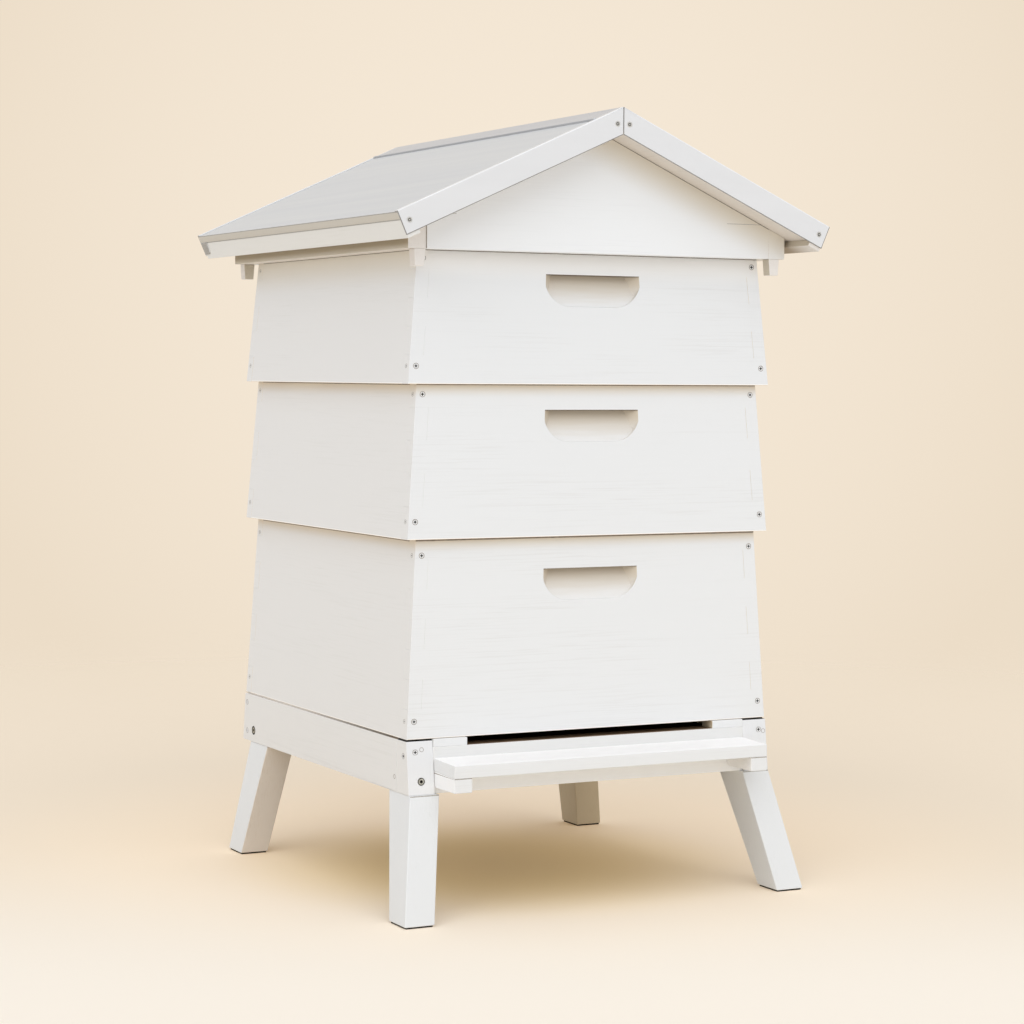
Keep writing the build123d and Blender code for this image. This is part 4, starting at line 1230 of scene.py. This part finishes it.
# %% [markdown]
# ## Filled and painted screw holes
#
# The sides of the lifts are screwed as well, near every corner, but there the heads were filled and painted,
# and only a faint ring with a dark pinhole is left of each. The stand has a few such plugs too. Each is a
# thin ring and a small stud, and both must sit on the leaning boards. So a ray is shot at the boards from
# outside, and where it lands gives the place and the direction to set the mark square to the surface.

# %% Plugs on the lifts and the stand
PLUG_RING = (2.4 * MM, 0.4 * MM)
PINHOLE_RADIUS = 0.7 * MM
PINHOLE_DEPTH = 0.4 * MM
PINHOLE_SIDES = 12
FROM_CORNER = 9 * MM
FROM_OUTSIDE = 500 * MM
POST_PLUGS = (Vector((-240.7, 0, 209.4)) * MM, Vector((256.6, 0, 204.5)) * MM)
RAIL_PLUG = Vector((0, -235.8, 172.6)) * MM


def surface_of(boards):
    """A search tree of the surfaces of some CAD pieces, to shoot rays at."""
    shape = bmesh.new()
    for board in boards:
        shape.from_mesh(nodes[board].data)
    tree = BVHTree.FromBMesh(shape)
    shape.free()
    return tree


def plug(shape, surface, place, outwards, pinhole):
    """Sets a filled screw hole on the surface at a place, seen from outside."""
    spot, normal, _, _ = surface.ray_cast(place + outwards * FROM_OUTSIDE, -outwards)
    spin_ring(shape, spot, normal, *PLUG_RING, 0)
    if pinhole:
        turned = normal.to_track_quat("Z", "Y").to_matrix().to_4x4()
        made = bmesh.ops.create_cone(
            shape,
            cap_ends=True,
            segments=PINHOLE_SIDES,
            radius1=PINHOLE_RADIUS,
            radius2=PINHOLE_RADIUS,
            depth=PINHOLE_DEPTH,
            matrix=Matrix.Translation(spot) @ turned,
        )
        for face in {face for vert in made["verts"] for face in vert.link_faces}:
            face.material_index = 1


for tier in TIERS:
    surface = surface_of([f"{tier}_lift_{side}" for side in OUTWARDS])
    shape = bmesh.new()
    heights = [head.z for head in heads_of[f"{tier}_lift_screws"]]
    for height in (min(heights), max(heights)):
        for along in (FORWARDS, BACKWARDS):
            corner = surface.ray_cast(UP * height + along * FROM_OUTSIDE, -along)[0]
            for outwards in (ACROSS, -ACROSS):
                plug(shape, surface, corner - along * FROM_CORNER, outwards, True)
    put_in_scene(f"{tier}_lift_plugs", shape, [filler_and_shade, dirt_and_shade], f"{tier}_lift")

shape = bmesh.new()
surface = surface_of(["front_post_left", "front_post_right", "side_rail_left", "side_rail_right"])
for place in POST_PLUGS:
    plug(shape, surface, place, FORWARDS, False)
for outwards in (ACROSS, -ACROSS):
    plug(shape, surface, RAIL_PLUG, outwards, False)
put_in_scene("stand_plugs", shape, [grime_and_shade, dirt_and_shade], "stand")
print("plugs set on", len(TIERS), "lifts and the stand")

# %% [markdown]
# ## CAD pieces that stay
#
# The excluder's wires, the wax sheets and the rubber pads already have the right shape, so the CAD piece
# itself is shown and only gets its finish.

# %% Finishes on the wires, wax and pads
finish_of_slot = {"zinc_steel": zinc, "beeswax": beeswax, "dark_pad": rubber}
kept = [node for node, slot in slot_of_node.items() if slot in finish_of_slot and node not in head_finish]
for node in kept:
    nodes[node].material_slots[0].material = finish_of_slot[slot_of_node[node]]
print("finished in place:", len(kept))

# %% [markdown]
# ## The floor
#
# The hive stands in a studio on a seamless cream paper that runs up behind it, so there is no horizon. A
# large disc does the same for every camera angle: round the hive it is a matt floor that takes the shadow,
# and further out it turns transparent, so that it melts into a background of the same cream. The camera
# sees a pale cream that deepens towards the back and a little more under the hive, as painted shade, and the
# light that bounces up has the warmer tone that paper shows when light has crossed it more than once. In the
# shadow, light has bounced many times between paper and wood. A trace of warm glow, which only the camera
# sees, stands for the bounces that are not followed. It is centred a little behind the hive, where the
# shadow lies.

# %% A floor that fades into the background
FLOOR_RADIUS = 6.0
FLOOR_SIDES = 96
FADE_START = 1.2
FADE_END = 3.4
# The camera's floor tone is deeper under the hive and towards the back, as painted shade.
FLOOR_UNDER = linear("FEE4AF")
FLOOR_FRONT = linear("FDF3E4")
FLOOR_BEHIND = linear("F3E3CC")
FRONT_TO_BACK = (-0.8, 0.2)
UNDER_TO_OPEN = (0.1, 0.4)
TOWARDS_BACK = (0.458, 0.889, 0.0)
BOUNCE_UNDER = linear("E4CBA2")
BOUNCE_ROUND = linear("F8EFDF")
BOUNCE_REACH = (0.2, 0.5)
FLOOR_GLOW = (0.157, 0.098, 0.043, 1.0)
GLOW_CENTRE = (0.092, 0.178, 0.0)
GLOW_REACH = (0.1, 0.9)

floor_shape = bmesh.new()
bmesh.ops.create_circle(floor_shape, cap_ends=True, segments=FLOOR_SIDES, radius=FLOOR_RADIUS)
floor_mesh = bpy.data.meshes.new("floor")
floor_shape.to_mesh(floor_mesh)
floor_shape.free()
floor = bpy.data.objects.new("floor", floor_mesh)
bpy.context.scene.collection.objects.link(floor)
floor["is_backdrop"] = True


def seen_rays(tree):
    """1 for rays from the camera, also by way of metal or glass, and 0 for light that bounces."""
    path = add(tree, "ShaderNodeLightPath").outputs
    seen = path["Is Camera Ray"]
    for ray in ("Is Glossy Ray", "Is Transmission Ray"):
        seen = add(tree, "ShaderNodeMath", {0: seen, 1: path[ray]}, operation="MAXIMUM").outputs["Value"]
    return seen


paper, tree, shader = new_material(
    "cream_studio_paper", Roughness=0.9, Specular_IOR_Level=0.1, Emission_Color=FLOOR_GLOW
)
floor_mesh.materials.append(paper)
place = add(tree, "ShaderNodeTexCoord").outputs["Object"]
out = add(tree, "ShaderNodeVectorMath", {0: place}, operation="LENGTH").outputs["Value"]
back = add(tree, "ShaderNodeVectorMath", {0: place, 1: TOWARDS_BACK}, operation="DOT_PRODUCT")
from_glow = add(tree, "ShaderNodeVectorMath", {0: place, 1: GLOW_CENTRE}, operation="DISTANCE")
open_tone = turning(tree, back.outputs["Value"], FRONT_TO_BACK, FLOOR_FRONT, FLOOR_BEHIND, "SMOOTHSTEP")
shown_tone = turning(tree, out, UNDER_TO_OPEN, FLOOR_UNDER, open_tone, "SMOOTHSTEP")
bounce_tone = turning(tree, out, BOUNCE_REACH, BOUNCE_UNDER, BOUNCE_ROUND, "SMOOTHSTEP")
seen = seen_rays(tree)
colour = add(tree, "ShaderNodeMix", {"Factor": seen, 6: bounce_tone, 7: shown_tone}, data_type="RGBA")
dimming = {"Value": from_glow.outputs["Value"], "From Min": GLOW_REACH[0], "From Max": GLOW_REACH[1]}
fading = {"Value": out, "From Min": FADE_START, "From Max": FADE_END}
dim, faded = (
    add(tree, "ShaderNodeMapRange", growth, interpolation_type="SMOOTHSTEP").outputs["Result"]
    for growth in (dimming, fading)
)
glow = add(tree, "ShaderNodeMath", {0: 1.0, 1: dim}, operation="SUBTRACT").outputs["Value"]
shown_glow = add(tree, "ShaderNodeMath", {0: glow, 1: seen}, operation="MULTIPLY").outputs["Value"]
fill(tree, shader, {"Base Color": colour.outputs[2], "Emission Strength": shown_glow})
clear = add(tree, "ShaderNodeBsdfTransparent")
melting = add(tree, "ShaderNodeMixShader", {0: faded, 1: shader.outputs[0], 2: clear.outputs[0]})
fill(tree, tree.nodes["Material Output"], {"Surface": melting.outputs[0]})
print("floor radius", FLOOR_RADIUS, "m, gone at", FADE_END, "m")

# %% [markdown]
# ## The light tent
#
# A white object needs soft light and plenty of it from all round, or it goes grey. The world is a light
# tent, brighter towards the horizon than overhead, because light from the side reaches the boards under the
# roof's overhang. It is a touch cool, which balances the warm light that the paper throws back. A Light Path
# node shows the cream background, with a soft wash of light behind the hive, to the camera and to
# reflections, while the tent has its own plain level.

# %% A light tent with a cream background
BACKGROUND = linear("ECDDC8")
BACKGROUND_GLOW = linear("F5E8D6")
GLOW_TOWARDS = (0.4577, 0.8877, 0.0488)
GLOW_EDGE = math.cos(math.radians(13))
OVERHEAD_LIGHT = (0.65, 0.65, 0.66, 1.0)
HORIZON_LIGHT = (0.74, 0.78, 0.86, 1.0)
GROUND_LIGHT = (0.96, 1.0, 1.06, 1.0)
HORIZON_TO_OVERHEAD = (0.05, 0.6)
GROUND_TO_HORIZON = (-0.05, 0.05)

world = bpy.data.worlds.new("studio")
bpy.context.scene.world = world
world.use_nodes = True
tree = world.node_tree
ray = add(tree, "ShaderNodeTexCoord").outputs["Generated"]
height = add(tree, "ShaderNodeSeparateXYZ", {0: ray}).outputs["Z"]
sky = turning(tree, height, HORIZON_TO_OVERHEAD, HORIZON_LIGHT, OVERHEAD_LIGHT)
tent = turning(tree, height, GROUND_TO_HORIZON, GROUND_LIGHT, sky)
towards_glow = add(tree, "ShaderNodeVectorMath", {0: ray, 1: GLOW_TOWARDS}, operation="DOT_PRODUCT")
behind = turning(tree, towards_glow.outputs["Value"], (GLOW_EDGE, 1.0), BACKGROUND, BACKGROUND_GLOW)
light = add(tree, "ShaderNodeBackground", {"Color": tent})
shown = add(tree, "ShaderNodeBackground", {"Color": behind})
either = add(tree, "ShaderNodeMixShader", {0: seen_rays(tree), 1: light.outputs[0], 2: shown.outputs[0]})
fill(tree, tree.nodes["World Output"], {"Surface": either.outputs[0]})
print("made the world", world.name)

# %% [markdown]
# ## The lamp
#
# One broad soft lamp, high on the left of the hive's front, shapes the boards. It is a sun lamp with a wide
# angle, so that its shadows have soft edges, and it is a touch cool as the tent is.

# %% A soft lamp
LAMP_POWER = 1.36
LAMP_COLOUR = (0.935, 0.965, 1.0)
LAMP_TURN = math.radians(30)
LAMP_RISE = math.radians(50)
LAMP_SOFTNESS = math.radians(70)

lamp_data = bpy.data.lights.new("soft_lamp", "SUN")
lamp_data.energy = LAMP_POWER
lamp_data.angle = LAMP_SOFTNESS
lamp_data.color = LAMP_COLOUR
lamp = bpy.data.objects.new("soft_lamp", lamp_data)
towards_lamp = Vector((
    -math.sin(LAMP_TURN) * math.cos(LAMP_RISE),
    -math.cos(LAMP_TURN) * math.cos(LAMP_RISE),
    math.sin(LAMP_RISE),
))
lamp.rotation_euler = towards_lamp.to_track_quat("Z", "Y").to_euler()
bpy.context.scene.collection.objects.link(lamp)
print("soft lamp towards", [round(c, 2) for c in towards_lamp])

# %% [markdown]
# ## The camera
#
# The photograph was taken from about three and a half metres, in front of the hive and to its left, with a
# short telephoto lens that keeps the uprights nearly parallel. The camera's axes are built from its yaw,
# pitch and a trace of roll, and become the columns of its matrix.

# %% Camera at the photograph's angle
CAMERA_AT = Vector((-1.59296, -3.13414, 0.67227))
CAMERA_YAW = math.radians(27.261)
CAMERA_PITCH = math.radians(-3.059)
CAMERA_ROLL = math.radians(0.374)
CAMERA_LENS = 90.97
SENSOR_WIDTH = 36

ahead = Vector((
    math.sin(CAMERA_YAW) * math.cos(CAMERA_PITCH),
    math.cos(CAMERA_YAW) * math.cos(CAMERA_PITCH),
    math.sin(CAMERA_PITCH),
))
level = Vector((math.cos(CAMERA_YAW), -math.sin(CAMERA_YAW), 0))
upright = level.cross(ahead)
right = level * math.cos(CAMERA_ROLL) + upright * math.sin(CAMERA_ROLL)
up = upright * math.cos(CAMERA_ROLL) - level * math.sin(CAMERA_ROLL)
camera_data = bpy.data.cameras.new("camera")
camera_data.lens = CAMERA_LENS
camera_data.sensor_width = SENSOR_WIDTH
camera = bpy.data.objects.new("camera", camera_data)
camera.matrix_world = Matrix.Translation(CAMERA_AT) @ Matrix((right, up, -ahead)).transposed().to_4x4()
bpy.context.scene.collection.objects.link(camera)
bpy.context.scene.camera = camera
bpy.context.scene.view_settings.view_transform = "Standard"
print("camera", round(CAMERA_AT.length, 2), "m from the origin")

# %% [markdown]
# ## The size of the dressed hive
#
# Rounded edges only ever take material away, and rings stand out by a fraction of a millimetre, so the
# dressed hive must come out as large as the CAD. The box of the dressed hive is printed.

# %% Sizes, and the end
low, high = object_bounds()
print("visual box", [round(c, 4) for c in low], [round(c, 4) for c in high])
